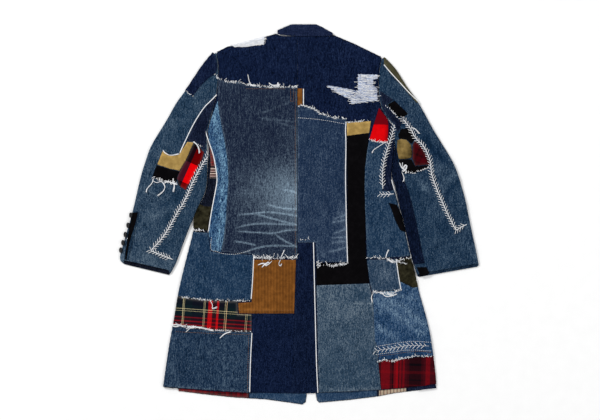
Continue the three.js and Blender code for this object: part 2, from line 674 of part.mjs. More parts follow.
// Face down between the surface and the wearer's right front, which they lift as the lapels do.
function addFrontButtons() {
  FRONT_BUTTON_ROWS.forEach((y, i) => {
    const geometry = buttonGeometry(FRONT_BUTTON_RADIUS, FRONT_BUTTON_THICKNESS).rotateX(Math.PI);
    const mesh = addMesh(`front_button_${i + 1}`, geometry, "black", BUTTON_ROUGHNESS);
    mesh.position.set(FRONT_BUTTON_X, y, FRONT_BUTTON_THICKNESS);
  });
}

addPanels();
addFrontButtons();
addUpperPatches();
addSkirtPatches();
addLeftSleeve();
addRightSleeve();
addCuffButtons();

export default coat;
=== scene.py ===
# A patched boro coat of denim, corduroy, plaid and twill, laid face down with its back up.
# Lengths are millimetres until a mesh is made. +Y points from the hem to the collar.
import math
import random

import bpy
import numpy as np
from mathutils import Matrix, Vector
from mathutils.geometry import delaunay_2d_cdt


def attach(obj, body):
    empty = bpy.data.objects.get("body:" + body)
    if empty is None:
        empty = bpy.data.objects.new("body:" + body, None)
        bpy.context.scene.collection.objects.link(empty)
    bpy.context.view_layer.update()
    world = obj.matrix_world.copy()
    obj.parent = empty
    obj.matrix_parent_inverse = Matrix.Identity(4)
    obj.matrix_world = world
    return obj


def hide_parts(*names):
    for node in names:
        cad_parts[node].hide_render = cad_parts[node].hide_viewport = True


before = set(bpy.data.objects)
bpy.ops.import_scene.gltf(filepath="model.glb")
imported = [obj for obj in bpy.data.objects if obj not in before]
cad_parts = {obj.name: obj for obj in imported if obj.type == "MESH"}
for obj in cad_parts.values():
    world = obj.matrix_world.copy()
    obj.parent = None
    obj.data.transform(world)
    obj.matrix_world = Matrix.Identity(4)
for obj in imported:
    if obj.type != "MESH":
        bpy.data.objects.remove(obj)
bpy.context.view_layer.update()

MM = 0.001
rng = random.Random(11)

# ---- the coat's form, in the CAD model's own sizes ----

FRONT_WALL = 1.8
BACK_WALL = 1.6
LAPEL_RISE = 3
MIDDLE_X = 16
CLOSE_AIR = 0.4
EDGE_AIR = 2.2
FOLD_REACH = 6
SLEEVE_HEIGHT = 8.6
SLEEVE_REACH = 5
SLEEVE_WALL = 1.4
CLOTH = 1.1  # thickness of one cloth
RING_STEP = 2.8  # the longest side of a cloth's outline
UNDER_SIDE = 1.6  # how high a folded edge's lower side lies, with room for a patch under it
FLOOR_AIR = 0.1
PATCH_LOW = 0.3  # a patch lies this far off the cloth under it
PATCH_HIGH = PATCH_LOW + CLOTH
ON_PATCH_LOW = PATCH_HIGH + 0.15  # a piece sewn on a patch
ON_PATCH_HIGH = PATCH_LOW + 2 * CLOTH
THREAD_LIFT = 1.6  # threads lie on the patches
UNDER_LEG = 30  # how far a side panel's cloth runs on past a folded edge
WRAP_PAST = 6.4  # how far a patch's cloth runs on round a folded edge
EDGE_CATCH = 14  # a patch whose outline comes this near an edge goes round it

ARMHOLE_LEFT = [
    (-248, 163), (-249, 195), (-249, 228), (-236, 269), (-223, 322), (-219, 360), (-218, 400), (-223, 436),
]
ARMHOLE_RIGHT = [
    (263, 210), (255, 243), (237, 262), (223, 285), (216, 320), (215, 355), (217, 390), (224, 421),
]
# Sleeve stations from the armhole to the cuff: a point on the outer edge, then one on the inner edge.
SLEEVE_LEFT = [
    (-229, 441, -247, 158), (-258, 407, -246.5, 140), (-280, 374, -247.8, 118), (-307, 333, -247.8, 96),
    (-333, 299, -249.8, 74), (-356, 255, -256.8, 50), (-400, 186, -279, 8), (-414, 144, -287, -17),
    (-427, 104, -297, -38), (-447, 14, -312, -78), (-461, -35, -320, -100), (-474, -79, -326, -116),
    (-486, -121, -332, -134), (-472, -138, -347, -165),
]
SLEEVE_RIGHT = [
    (227, 427, 263, 205), (248, 406, 257, 170), (265, 385, 254, 140), (287, 348, 251.5, 118),
    (308, 320, 252, 96), (328, 293, 261, 74), (360, 232, 270, 30), (380, 200, 276, 8),
    (404, 162, 282, -14), (425, 122, 287, -36), (448, 46, 296, -80), (456, 5, 301, -102),
    (465, -40, 307, -124), (475, -84, 313, -147), (486, -140, 320, -170),
]
EDGE_LEFT = [
    (-245, 156), (-247, 118), (-247, 96), (-249, 74), (-256, 50), (-269, 26), (-278, 5), (-284, -12),
    (-284, -47), (-298, -99), (-324, -203), (-337, -286), (-350, -354), (-366, -466),
]
EDGE_RIGHT = [
    (259, 198), (253, 140), (248, 94), (255, 69), (263, 42), (279, -20), (290, -66), (301, -115),
    (316, -172), (322, -207), (341, -272), (354, -325), (366, -414), (370, -461),
]
SEAM_LEFT = [
    (-247, 224), (-242, 197), (-231, 163), (-220, 94), (-225, 65), (-232, 30), (-238, -4), (-244, -47),
    (-262, -150), (-285, -290), (-312, -470),
]
SEAM_RIGHT = [
    (255, 234), (248, 204), (237, 175), (228, 137), (224, 107), (226, 64), (232, 0), (245, -100),
    (268, -200), (300, -330), (318, -466),
]
SHOULDER_LEFT = [(-219, 440), (-193, 453), (-89, 480), (-62, 488), (-45, 481)]
SHOULDER_RIGHT = [(80, 481), (94, 484), (151, 460), (219, 427)]
COLLAR_FOLD = [(-58, 497), (-24, 512), (-19, 513), (46, 513), (62, 506), (91, 490)]

# Soft folds: a line, half its width, and its height, negative for a trough.
BODY_FOLDS = [
    ((215, -250), (345, -345), 34, 3.0),
    ((-205, -250), (-222, -480), 34, 2.4),
    ((125, -240), (135, -480), 34, 2.2),
    ((-110, 250), (-90, -40), 45, 1.6),
    ((222, -215), (330, -318), 13, 1.5),
    ((212, -262), (300, -366), 14, -1.3),
    ((240, -330), (335, -372), 12, 1.2),
    ((-300, -150), (-215, -215), 16, 1.4),
    ((-285, -110), (-200, -150), 14, -1.1),
    ((-150, -130), (-175, -230), 18, 1.0),
    ((60, 240), (110, 30), 26, 1.0),
    ((100, 210), (40, 60), 24, -0.9),
    ((-180, 330), (-120, 200), 22, -0.9),
    ((-60, 430), (70, 445), 22, 0.9),
    ((-190, 420), (-120, 350), 20, 0.9),
    ((170, 430), (110, 360), 20, -0.8),
    ((190, 150), (236, 60), 16, 1.2),
    ((185, 60), (240, 10), 12, -1.0),
    ((-230, 140), (-215, 20), 9, 1.1),
    ((-290, -330), (-240, -470), 22, -1.2),
    ((-180, -330), (-170, -478), 20, 1.1),
    ((80, -210), (90, -470), 22, -1.2),
    ((170, -230), (190, -470), 18, -1.0),
    ((142, -392), (208, -384), 7, 0.9),
    ((-12, -120), (-14, -480), 8, -0.9),
    ((20, -110), (24, -470), 10, 0.8),
]
LEFT_SLEEVE_FOLDS = [
    ((-392, 165), (-325, 135), 17, 3.5),
    ((-405, 110), (-330, 88), 15, -2.7),
    ((-418, 62), (-350, 42), 18, 3.0),
    ((-300, 300), (-262, 220), 16, 2.2),
    ((-330, 250), (-285, 190), 13, -1.8),
    ((-265, 330), (-240, 250), 12, 1.6),
    ((-350, 60), (-310, 90), 9, 1.8),
    ((-372, 20), (-320, 55), 11, -1.6),
    ((-400, -10), (-345, 15), 12, 1.6),
    ((-440, -40), (-380, -95), 16, 1.5),
    ((-425, 40), (-430, -30), 14, -1.2),
    ((-350, 210), (-385, 150), 11, 1.8),
]
RIGHT_SLEEVE_FOLDS = [
    ((324, 215), (397, 140), 16, -2.7),
    ((356, 112), (410, 138), 17, 3.8),
    ((375, 70), (428, 96), 17, 3.2),
    ((390, 50), (434, 80), 8, -2.2),
    ((255, 330), (300, 300), 14, 2.0),
    ((262, 300), (318, 258), 12, -1.6),
    ((300, 250), (345, 240), 13, 1.8),
    ((345, 60), (318, 100), 12, 1.8),
    ((330, 20), (372, 40), 13, -1.6),
    ((380, 10), (440, 20), 15, 1.8),
    ((350, -60), (420, -50), 17, 1.6),
    ((340, 160), (372, 120), 10, 1.9),
    ((400, -60), (460, -70), 14, -1.5),
]

# White woven edges that show as crisp lines, each with the cloth it lies on.
SELVEDGES = [
    ("body", [(-253, 228), (-244, 197), (-231, 163), (-224, 125), (-220, 94), (-225, 65), (-232, 30),
     (-238, -4), (-244, -45)]),
    ("body", [(127, 250), (125, 228), (127, 193), (125, 99), (127, 23), (128, -42), (131, -129)]),
    ("body", [(248, 94), (257, 69), (265, 42), (282, -20), (293, -77), (302, -115), (308, -134)]),
    ("body", [(262, -120), (269, -171), (275, -203)]),
    ("body", [(39, -75), (41, -155), (42, -204), (44, -279), (47, -404), (51, -481)]),
    ("body", [(-122, -112), (-125, -177), (-129, -228)]),
    ("body", [(-127, -320), (-131, -393), (-133, -479)]),
    ("body", [(317, -161), (317, -180)]),
    ("left", [(-222, 323), (-238, 306), (-256, 289), (-276, 258), (-292, 229), (-305, 202), (-321, 166)]),
    ("right", [(229, 404), (248, 381), (276, 351), (303, 321), (324, 300)]),
    ("body", [(12, 339), (12, 293)]),
]

# Frayed edges with short loose threads across them: cloth, reach of the threads, line.
FRAYS = [
    ("body", 9, [(-228, 379), (-219, 366), (-189, 356), (-162, 358), (-143, 350), (-116, 346), (-68, 343),
     (-5, 344)]),
    ("body", 8, [(-4, 291), (15, 293), (42, 284), (55, 272), (78, 266), (97, 259), (128, 258)]),
    ("body", 13, [(-122, -117), (-65, -119), (-5, -117)]),
    ("body", 11, [(48, -128), (51, -142), (68, -135), (94, -139), (116, -136), (133, -130)]),
    ("body", 7, [(3, -70), (27, -66)]),
    ("body", 7, [(129, 248), (194, 252)]),
    ("body", 7, [(190, 202), (205, 196), (240, 193)]),
    ("body", 8, [(181, -117), (232, -120), (259, -128), (302, -117)]),
    ("body", 8, [(198, -207), (240, -216), (275, -204)]),
    ("body", 8, [(-284, -42), (-243, -46)]),
    ("body", 5, [(-321, -223), (-289, -227), (-251, -231), (-132, -234)]),
    ("body", 8, [(-332, -295), (-311, -303), (-273, -306), (-232, -313)]),
    ("body", 5, [(-232, -313), (-130, -316)]),
    ("body", 7, [(213, -398), (231, -392), (251, -397), (275, -390), (294, -386), (321, -383),
     (356, -383)]),
    ("body", 7, [(-186, 456), (-143, 458), (-97, 458)]),
    ("body", 6, [(-89, 482), (-97, 458)]),
    ("left", 5, [(-304, 331), (-287, 318)]),
    ("left", 4, [(-471, -70), (-455, -64)]),
    ("left", 12, [(-394, 99), (-364, 89), (-332, 82)]),
    ("left", 4, [(-286, 196), (-259, 182)]),
    ("right", 6, [(235, 293), (251, 277), (265, 263), (281, 261)]),
    ("right", 5, [(278, 115), (310, 111), (348, 126)]),
    ("body", 6, [(267, -128), (289, -134)]),
]

# Single loose threads.
THREADS = [
    ("body", [(-138, 377), (-132, 350), (-116, 346)]),
    ("body", [(-81, 355), (-70, 347), (-51, 350)]),
    ("body", [(-49, -117), (-43, -104), (-40, -96)]),
    ("body", [(-50, -122), (-55, -133), (-51, -141), (-46, -134)]),
    ("body", [(-110, -136), (-98, -130), (-88, -137)]),
    ("body", [(-100, -142), (-92, -133), (-82, -128)]),
    ("body", [(-90, -138), (-82, -134), (-74, -127)]),
    ("body", [(236, -211), (243, -217), (253, -217)]),
    ("body", [(239, -214), (246, -219), (254, -219)]),
    ("body", [(238, -208), (246, -214), (255, -214)]),
    ("body", [(-345, -295), (-334, -304), (-322, -299)]),
    ("body", [(-304, -309), (-290, -299), (-274, -305), (-262, -303)]),
    ("body", [(-300, -300), (-288, -307), (-279, -302)]),
    ("body", [(230, 193), (213, 182), (200, 174), (198, 166)]),
    ("body", [(234, -117), (238, -104), (243, -96)]),
    ("body", [(241, -120), (248, -128), (256, -129)]),
    ("body", [(207, -205), (194, -219), (197, -236)]),
    ("body", [(220, -208), (230, -220), (241, -222), (262, -215)]),
    ("body", [(-305, -317), (-294, -306), (-281, -301), (-232, -312)]),
    ("body", [(-213, -333), (-200, -320), (-184, -315)]),
    ("body", [(-340, -298), (-327, -296), (-313, -301)]),
    ("body", [(-240, -231), (-232, -244), (-235, -255), (-221, -250)]),
    ("body", [(-59, 350), (-57, 358), (-54, 347)]),
    ("left", [(-366, 173), (-362, 166), (-348, 159), (-332, 161), (-324, 164)]),
    ("left", [(-393, 97), (-395, 85), (-410, 70), (-412, 61)]),
    ("left", [(-367, 85), (-360, 74), (-367, 61), (-381, 51)]),
    ("left", [(-339, 97), (-340, 85), (-335, 78), (-339, 61)]),
    ("left", [(-392, 90), (-383, 84), (-373, 90), (-364, 82), (-356, 89), (-329, 80)]),
    ("left", [(-285, 196), (-275, 190), (-269, 177), (-268, 166)]),
    ("right", [(303, 234), (313, 232), (324, 219)]),
    ("right", [(271, 139), (275, 128), (281, 120), (283, 131), (291, 134), (288, 122), (279, 116)]),
    ("right", [(279, 140), (277, 124), (290, 118), (286, 110)]),
    ("right", [(278, 112), (284, 99), (281, 90)]),
]

# Feather stitches: cloth, pitch, half the spine's width, and the line that they follow.
FEATHERS = [
    ("left", 8, 1.0, [(-247, 157), (-272, 116), (-293, 73), (-306, 39), (-331, 1), (-351, -38),
     (-374, -71), (-400, -97)]),
    ("right", 8, 1.0, [(281, 256), (300, 234), (313, 205), (336, 187), (353, 147), (355, 128), (356, 112),
     (366, 80), (386, 33), (401, -1), (420, -36), (424, -42)]),
    ("body", 8.5, 0.8, [(258, 243), (248, 204), (237, 175), (228, 137), (224, 107), (226, 64)]),
    ("body", 8.5, 0.8, [(221, 55), (240, 54), (262, 56)]),
    ("left", 8, 1.0, [(-400, -97), (-367, -111), (-334, -123)]),
    ("right", 8, 1.0, [(424, -42), (440, -32), (458, -24)]),
    ("body", 11, 0.35, [(209, -367), (243, -362), (275, -356), (309, -352), (356, -355)]),
]

# Rows of pale running stitches.
PALE_DASHES = [
    ("body", [(-3, 261), (60, 256), (124, 244)]),
    ("body", [(-236, -61), (-239, -91), (-234, -98), (-222, -99), (-211, -105), (-176, -108),
     (-157, -104), (-132, -97)]),
    ("body", [(208, -356), (275, -345), (309, -341), (359, -345)]),
    ("body", [(207, -378), (254, -371), (298, -364), (356, -368)]),
]

# Rows of tan running stitches.
BROWN_DASHES = [
    ("body", [(-143, 339), (-89, 339), (-38, 339)]),
    ("body", [(-159, -259), (-86, -260), (-16, -259)]),
    ("body", [(-332, -316), (-232, -321), (-132, -324)]),
    ("body", [(-136, -328), (-139, -477)]),
    ("body", [(213, -382), (254, -377), (298, -370), (329, -368), (356, -372)]),
    ("body", [(-10, 331), (-10, -107)]),
    ("body", [(-23, 338), (-22, 304)]),
    ("body", [(-15, 338), (-15, 304)]),
    ("body", [(-23, 306), (-15, 305)]),
]

# Worn lines across the faded panel, under the pocket's place.
FADED_WHISKERS = [
    [(-167, -1), (-116, 3), (-88, 7), (-51, 4), (-5, -4)],
    [(-116, 1), (-78, -9), (-43, -19), (-5, -27)],
    [(-170, -36), (-140, -28), (-108, -24), (-51, -26), (-5, -28)],
    [(-170, -45), (-108, -49), (-65, -51), (-38, -43), (-5, -41)],
    [(-65, -53), (-35, -74), (-5, -86)],
    [(-174, -72), (-146, -76), (-119, -82)],
    [(-150, -103), (-108, -88), (-68, -83), (-5, -86)],
    [(-88, 29), (-57, 18), (-5, 14)],
    [(-44, 66), (-24, 65), (-7, 58)],
    [(-113, 273), (-86, 277), (-51, 293), (-22, 303)],
    [(-113, 261), (-65, 256), (-11, 250)],
    [(-86, 255), (-51, 247), (-11, 235)],
]

# Worn lines at the right of the centre panel.
CENTRE_WHISKERS = [
    [(92, -12), (108, -8), (124, -1)],
    [(89, -22), (124, -15)],
    [(89, -53), (108, -47), (124, -38)],
    [(87, -63), (124, -61)],
    [(86, -76), (122, -72)],
    [(80, -100), (103, -96), (124, -89)],
]

# ---- plane geometry ----

def rounded(points, rounds=2):
    """A line with its corners cut, keeping its two ends."""
    line = np.array(points, float)
    for _ in range(rounds):
        cut = np.empty((2 * len(line) - 2, 2))
        cut[0::2] = 0.75 * line[:-1] + 0.25 * line[1:]
        cut[1::2] = 0.25 * line[:-1] + 0.75 * line[1:]
        line = np.vstack([line[:1], cut, line[-1:]])
    return line


def stepped(line, step, closed=False):
    """A line's points with more put in, so that no side is longer than step."""
    line = np.array(line, float)
    if closed:
        line = np.vstack([line, line[:1]])
    parts = []
    for a, b in zip(line[:-1], line[1:]):
        count = max(1, math.ceil(np.linalg.norm(b - a) / step))
        parts.append(a + np.linspace(0, 1, count, endpoint=False)[:, None] * (b - a))
    return np.vstack(parts if closed else [*parts, line[-1:]])


def tangents(line):
    """The direction of a line at each of its points."""
    along = np.gradient(line, axis=0)
    return along / (np.linalg.norm(along, axis=1)[:, None] + 1e-9)


def nearest(points, line):
    """For each point, a line's closest spot: distance, place, direction, and whether it is an end."""
    start, side = line[:-1], np.diff(line, axis=0)
    length2 = (side ** 2).sum(1) + 1e-12
    along = tangents(line)
    found = []
    for part in np.array_split(points, max(1, len(points) * len(line) // 400000)):
        t = (((part[:, None] - start) * side).sum(2) / length2).clip(0, 1)
        foot = start + t[..., None] * side
        away = np.linalg.norm(part[:, None] - foot, axis=2)
        k = away.argmin(1)
        pick = np.arange(len(part)), k
        u = t[pick][:, None]
        at_end = ((k == 0) & (u[:, 0] <= 0)) | ((k == len(start) - 1) & (u[:, 0] >= 1))
        found.append((away[pick], foot[pick], along[k] * (1 - u) + along[k + 1] * u, at_end))
    gap, foot, way, at_end = (np.concatenate(column) for column in zip(*found))
    return gap, foot, way / (np.linalg.norm(way, axis=1)[:, None] + 1e-9), at_end


def inside(points, ring):
    """Which points an outline holds."""
    x, y = points.T
    held = np.zeros(len(points), bool)
    for (ax, ay), (bx, by) in zip(ring, np.roll(ring, -1, axis=0)):
        if ay != by:
            held ^= ((ay > y) != (by > y)) & (x < ax + (bx - ax) * (y - ay) / (by - ay))
    return held


def ring_area(ring):
    x, y = ring.T
    return float((x * np.roll(y, -1) - np.roll(x, -1) * y).sum() / 2)


def cut_size(ring):
    """The smallest rectangle that an outline is cut from."""
    best = None
    for degrees in range(0, 90, 3):
        a = math.radians(degrees)
        turned = ring @ np.array([[math.cos(a), -math.sin(a)], [math.sin(a), math.cos(a)]])
        size = np.ptp(turned, axis=0)
        if best is None or size.prod() < best.prod():
            best = size
    return best


def triangulate(ring, step_x, step_y):
    """An outline filled with triangles. Its own points come first, in their order."""
    low, high = ring.min(0), ring.max(0)
    xs = np.arange(low[0] + step_x / 2, high[0], step_x)
    ys = np.arange(low[1] + step_y / 2, high[1], step_y)
    gx, gy = np.meshgrid(xs, ys)
    gx[1::2] += step_x / 2
    grid = np.column_stack([gx.ravel(), gy.ravel()])
    grid = grid[inside(grid, ring)]
    if len(grid):
        closed = np.vstack([ring, ring[:1]])
        grid = grid[nearest(grid, closed)[0] > 0.45 * step_x]
    points = np.vstack([ring, grid])
    count = len(ring)
    sides = [(i, (i + 1) % count) for i in range(count)]
    done = delaunay_2d_cdt([Vector(p) for p in points], sides, [list(range(count))], 1, 1e-5)
    flat = np.array([tuple(p) for p in done[0]])
    source = {old: new for new, olds in enumerate(done[3]) for old in olds}
    rim = list(dict.fromkeys(source[i] for i in range(count)))
    return flat, [tuple(face) for face in done[2]], rim


# ---- heights ----

def ramp(value, start, end):
    t = np.clip((value - start) / (end - start), 0, 1)
    return t * t * (3 - 2 * t)


def fold_height(flat, folds):
    total = np.zeros(len(flat))
    for start, end, width, height in folds:
        side = np.subtract(end, start)
        t = (((flat - start) @ side) / (side @ side)).clip(0, 1)
        away = np.linalg.norm(flat - start - t[:, None] * side, axis=1) / width
        total += height * np.exp(-away ** 2)
    return total


def make_waves():
    """Directions, phases and heights of the cloth's gentle unevenness."""
    waves = []
    for wavelength, height in ((150, 0.34), (95, 0.26), (60, 0.18), (36, 0.10), (22, 0.05)):
        for _ in range(4):
            angle = rng.uniform(0, math.pi)
            turn = 2 * math.pi / (wavelength * rng.uniform(0.85, 1.2))
            waves.append((turn * math.cos(angle), turn * math.sin(angle), rng.uniform(0, 6.28), height))
    return waves


WAVES = make_waves()


def unevenness(flat):
    return sum(h * np.sin(flat[:, 0] * kx + flat[:, 1] * ky + phase) for kx, ky, phase, h in WAVES)


LAPELS_END_X = (140, 240)  # the lapels' rise fades out over this distance from the middle
LAPELS_END_Y = (-300, -120)
WAIST_HALF = 250  # half the body's width down to the waist
WAIST_Y = 100
FLARE = 0.2  # how fast the skirt widens below the waist
SHOULDER_Y = (380, 450)  # the air between front and back closes over this span
NECK_Y = (440, 480)  # most of the looseness dies out over this span
SEAM_LIFT = 0.9  # how far a sleeve starts above the back
SEAM_SPAN = 40  # how far from the armhole a sleeve has its full height


def front_rest(flat):
    across = 1 - ramp(np.abs(flat[:, 0] - MIDDLE_X), *LAPELS_END_X)
    return LAPEL_RISE * across * ramp(flat[:, 1], *LAPELS_END_Y)


def body_top(flat):
    x, y = flat.T
    half_width = WAIST_HALF + FLARE * np.maximum(0, WAIST_Y - y)
    share = np.minimum(1.05, np.abs(x - MIDDLE_X / 2) / half_width)
    air = CLOSE_AIR + EDGE_AIR * share ** 4 * (1 - ramp(y, *SHOULDER_Y))
    loose = (fold_height(flat, BODY_FOLDS) + unevenness(flat)) * (1 - 0.8 * ramp(y, *NECK_Y))
    return front_rest(flat) + FRONT_WALL + air + BACK_WALL + np.maximum(loose, -0.2 - air)


def sleeve_top(armhole, folds):
    """The height of a sleeve's upper side, which starts low at the armhole."""
    hole = rounded(armhole)

    def height(flat):
        gap = nearest(flat, hole)[0]
        seam = body_top(flat) + SEAM_LIFT
        full = SLEEVE_HEIGHT + fold_height(flat, folds) + 0.8 * unevenness(flat)
        return seam + (full - seam) * ramp(gap, 0, SEAM_SPAN)

    return height


left_top = sleeve_top(ARMHOLE_LEFT, LEFT_SLEEVE_FOLDS)
right_top = sleeve_top(ARMHOLE_RIGHT, RIGHT_SLEEVE_FOLDS)


class Edge:
    """A folded edge. Cloth laid past its line goes round to the lower side."""

    def __init__(self, points, turn, reach, top, low=UNDER_SIDE, before=2, after=30, catch=EDGE_CATCH):
        line = rounded(points)
        first = line[0] + (line[0] - line[1]) / np.linalg.norm(line[0] - line[1]) * before
        last = line[-1] + (line[-1] - line[-2]) / np.linalg.norm(line[-1] - line[-2]) * after
        self.line = np.vstack([first, line, last])
        self.turn, self.reach, self.top, self.low, self.catch = turn, reach, top, low, catch

    def depth(self, flat):
        """How far inside the line each point is, the spot on the line, and the way outwards."""
        _, foot, along, at_end = nearest(flat, self.line)
        out = self.turn * np.column_stack([along[:, 1], -along[:, 0]])
        inward = -((flat - foot) * out).sum(1)
        return np.where(at_end, 1e3, inward), foot, out

    def bend(self, flat, placed, offset):
        inward, foot, out = self.depth(flat)
        past = self.reach - inward
        bent = past > 0
        if not bent.any():
            return placed
        past, foot, out = past[bent], foot[bent], out[bent]
        start = foot - out * self.reach
        top = self.top(start)
        half = (top - self.low) / 2
        arc = math.pi * np.sqrt((self.reach ** 2 + half ** 2) / 2)
        angle = np.minimum(math.pi, math.pi * past / arc)
        beyond = np.maximum(0, past - arc)
        sideways = (self.reach + offset) * np.sin(angle) - beyond
        placed[bent, :2] = start + out * sideways[:, None]
        placed[bent, 2] = np.maximum(FLOOR_AIR, (top + self.low) / 2 + (half + offset) * np.cos(angle))
        return placed


SHOULDER_REACH = 3
SHOULDER_LOW = 3.2  # a shoulder's fold ends on the front
SHOULDER_ENDS = 0.5  # how far that fold runs on past its two ends
SLEEVE_CATCH = 6.5


def body_fold(points, turn, catch=EDGE_CATCH):
    return Edge(points, turn, FOLD_REACH, body_top, catch=catch)


def shoulder_fold(points, catch):
    return Edge(points, -1, SHOULDER_REACH, body_top, low=SHOULDER_LOW, before=SHOULDER_ENDS,
                after=SHOULDER_ENDS, catch=catch)


def sleeve_folds(stations, turn, top, catch=SLEEVE_CATCH):
    """A sleeve's outer folded edge, then its inner one."""
    outer = Edge([s[:2] for s in stations], turn, SLEEVE_REACH, top, catch=catch)
    inner = Edge([s[2:] for s in stations], -turn, SLEEVE_REACH, top, catch=catch)
    return outer, inner


# Some cloths share an edge but go round it only where they come nearer to it.
left_edge = body_fold(EDGE_LEFT, 1)
right_edge = body_fold(EDGE_RIGHT, -1)
wedge_edge = body_fold(EDGE_RIGHT, -1, catch=0)
side_fold_left = body_fold(EDGE_LEFT, 1, catch=4)
side_fold_right = body_fold(EDGE_RIGHT, -1, catch=4)
shoulder_left = shoulder_fold(SHOULDER_LEFT, 1.2)
shoulder_right = shoulder_fold(SHOULDER_RIGHT, 1.2)
shred_edge = shoulder_fold(SHOULDER_LEFT, 5)
left_outer, left_inner = sleeve_folds(SLEEVE_LEFT, 1, left_top)
right_outer, right_inner = sleeve_folds(SLEEVE_RIGHT, -1, right_top)
cap_edge = sleeve_folds(SLEEVE_LEFT, 1, left_top, catch=10)[0]
strip_edge, stripe_edge = sleeve_folds(SLEEVE_RIGHT, -1, right_top, catch=2.5)

REGIONS = {
    "body": (body_top, (left_edge, right_edge)),
    "left": (left_top, (left_outer, left_inner)),
    "right": (right_top, (right_outer, right_inner)),
}


def laid(flat, region, offset, edges=None):
    """Flat points laid on a region of the coat, offset above it and round its folded edges."""
    top, own_edges = REGIONS[region]
    placed = np.column_stack([flat, top(flat) + offset])
    for edge in own_edges if edges is None else edges:
        placed = edge.bend(flat, placed, offset if np.isscalar(offset) else float(np.mean(offset)))
    return placed


# ---- wear and painted light and shade, as one number from 0 to 1 at each point ----

# Soft bands along lines: worn lines, and also painted shade and painted light where they follow seams and
# folds.
def soft_line_bands(flat, lines, width, amount):
    total = np.zeros(len(flat))
    for line in lines:
        away, foot, _, _ = nearest(flat, rounded(line, 1))
        ends = np.linalg.norm(np.subtract(line[-1], line[0]))
        share = np.linalg.norm(foot - line[0], axis=1) / ends
        fade = np.clip(np.minimum(share, 1.15 - share) * 5 + 0.25, 0.25, 1)
        total = np.maximum(total, amount * fade * np.exp(-(away / width) ** 2))
    return total


def worn_spots(flat, spots):
    """Soft ovals: centre x, y, half width, half height, amount."""
    total = np.zeros(len(flat))
    for x, y, rx, ry, amount in spots:
        away = ((flat[:, 0] - x) / rx) ** 2 + ((flat[:, 1] - y) / ry) ** 2
        total += amount * np.exp(-away)
    return total


# ---- meshes ----

def add_object(name, points, faces, material, smooth=None):
    mesh = bpy.data.meshes.new(name)
    mesh.from_pydata((np.asarray(points) * MM).tolist(), [], faces)
    mesh.materials.append(material)
    flags = np.ones(len(faces), bool) if smooth is None else smooth
    mesh.polygons.foreach_set("use_smooth", flags)
    mesh.update()
    obj = bpy.data.objects.new(name, mesh)
    bpy.context.scene.collection.objects.link(obj)
    return obj


# The number stored here is wear together with painted shade and painted light.
def set_wear(obj, values):
    attribute = obj.data.attributes.new("wear", "FLOAT", "POINT")
    attribute.data.foreach_set("value", np.asarray(values, np.float32))


def declare(obj, nodes):
    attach(obj, "root")
    if nodes:
        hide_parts(*nodes)


def cad_outline(node):
    """The outline of a node's upper side, seen from above."""
    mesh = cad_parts[node].data
    keys = [tuple(round(c / MM, 2) for c in vertex.co) for vertex in mesh.vertices]
    sides = set()
    for face in mesh.polygons:
        if face.normal.z > 0.3:
            loop = [keys[i] for i in face.vertices]
            sides.update(zip(loop, loop[1:] + loop[:1]))
    following = {a: b for a, b in sides if (b, a) not in sides}
    loops = []
    while following:
        start = next(iter(following))
        loop = [start]
        while loop[-1] in following:
            loop.append(following.pop(loop[-1]))
        loops.append(loop[:-1])
    longest = max(loops, key=len)
    return np.array([point[:2] for point in longest])


def pushed_out(ring, edges, past):
    """An outline whose points near a folded edge are taken past it, each place along the edge once."""
    for edge in edges:
        inward, foot, out = edge.depth(ring)
        near = inward < edge.catch
        if not near.any():
            continue
        place = foot @ (edge.line[-1] - edge.line[0])
        first = int(np.argmin(near))
        kept, run = [], []
        for i in [*range(first, len(ring)), *range(first + 1)]:
            if near[i]:
                run.append(i)
                continue
            if run:
                ends = sorted((int(np.argmin(place[run])), int(np.argmax(place[run]))))
                kept += [foot[k] + out[k] * past for k in run[ends[0]:ends[1] + 1]]
                run = []
            kept.append(ring[i])
        ring = np.array(kept[:-1])
    return stepped(ring, RING_STEP, closed=True)


def ragged(ring, amount):
    """An outline with each point moved a little to or from the cloth."""
    ahead = np.roll(ring, -1, axis=0) - np.roll(ring, 1, axis=0)
    length = np.linalg.norm(ahead, axis=1)[:, None] + 1e-9
    normal = np.column_stack([ahead[:, 1], -ahead[:, 0]]) / length
    moves = np.array([rng.uniform(-1, 1) for _ in range(len(ring))])
    return ring + normal * (moves * amount)[:, None]


def cloth(name, slot, material, outline, region="body", nodes=(), edges=(), past=WRAP_PAST, low=PATCH_LOW,
          high=PATCH_HIGH, step=(4.5, 4.5), rough=0.35, hem=0.12, wear=None, relief=None, rests_on=()):
    """A thin closed shell of one cut of cloth, laid on the coat's form."""
    ring = stepped(outline, RING_STEP, closed=True)
    ring = ragged(ring, rough)
    ring = pushed_out(ring, edges, past) if edges else ring
    if ring_area(ring) < 0:
        ring = ring[::-1]
    flat, triangles, rim = triangulate(ring, *step)
    above = relief(flat) if relief else 0
    height = REGIONS[region][0] if isinstance(region, str) else region
    sides = []
    for offset in (high, low):
        placed = np.column_stack([flat, height(flat) + offset])
        for edge in edges:
            placed = edge.bend(flat, placed, offset)
        sides.append(placed)
    sides[0][:, 2] += above
    count = len(flat)
    faces = [*triangles, *[(a + count, c + count, b + count) for a, b, c in triangles]]
    flags = [True] * len(faces)
    for a, b in zip(rim, rim[1:] + rim[:1]):
        faces.append((b, a, a + count, b + count))
        flags.append(False)
    obj = add_object(name + "_cloth", np.vstack(sides), faces, material, np.array(flags))
    edge_gap = nearest(flat, np.vstack([ring, ring[:1]]))[0]
    amount = hem * np.exp(-(edge_gap / 3.2) ** 2) + (wear(flat) if wear else 0)
    set_wear(obj, np.tile(amount + np.zeros(count), 2))
    declare(obj, nodes)
    width, length = np.maximum(cut_size(ring), 10.5) * MM
    area = abs(ring_area(ring)) * MM * MM
    return obj


# ---- materials ----

EXPOSURE = 0.86  # how bright a colour is painted, to look right under these lights


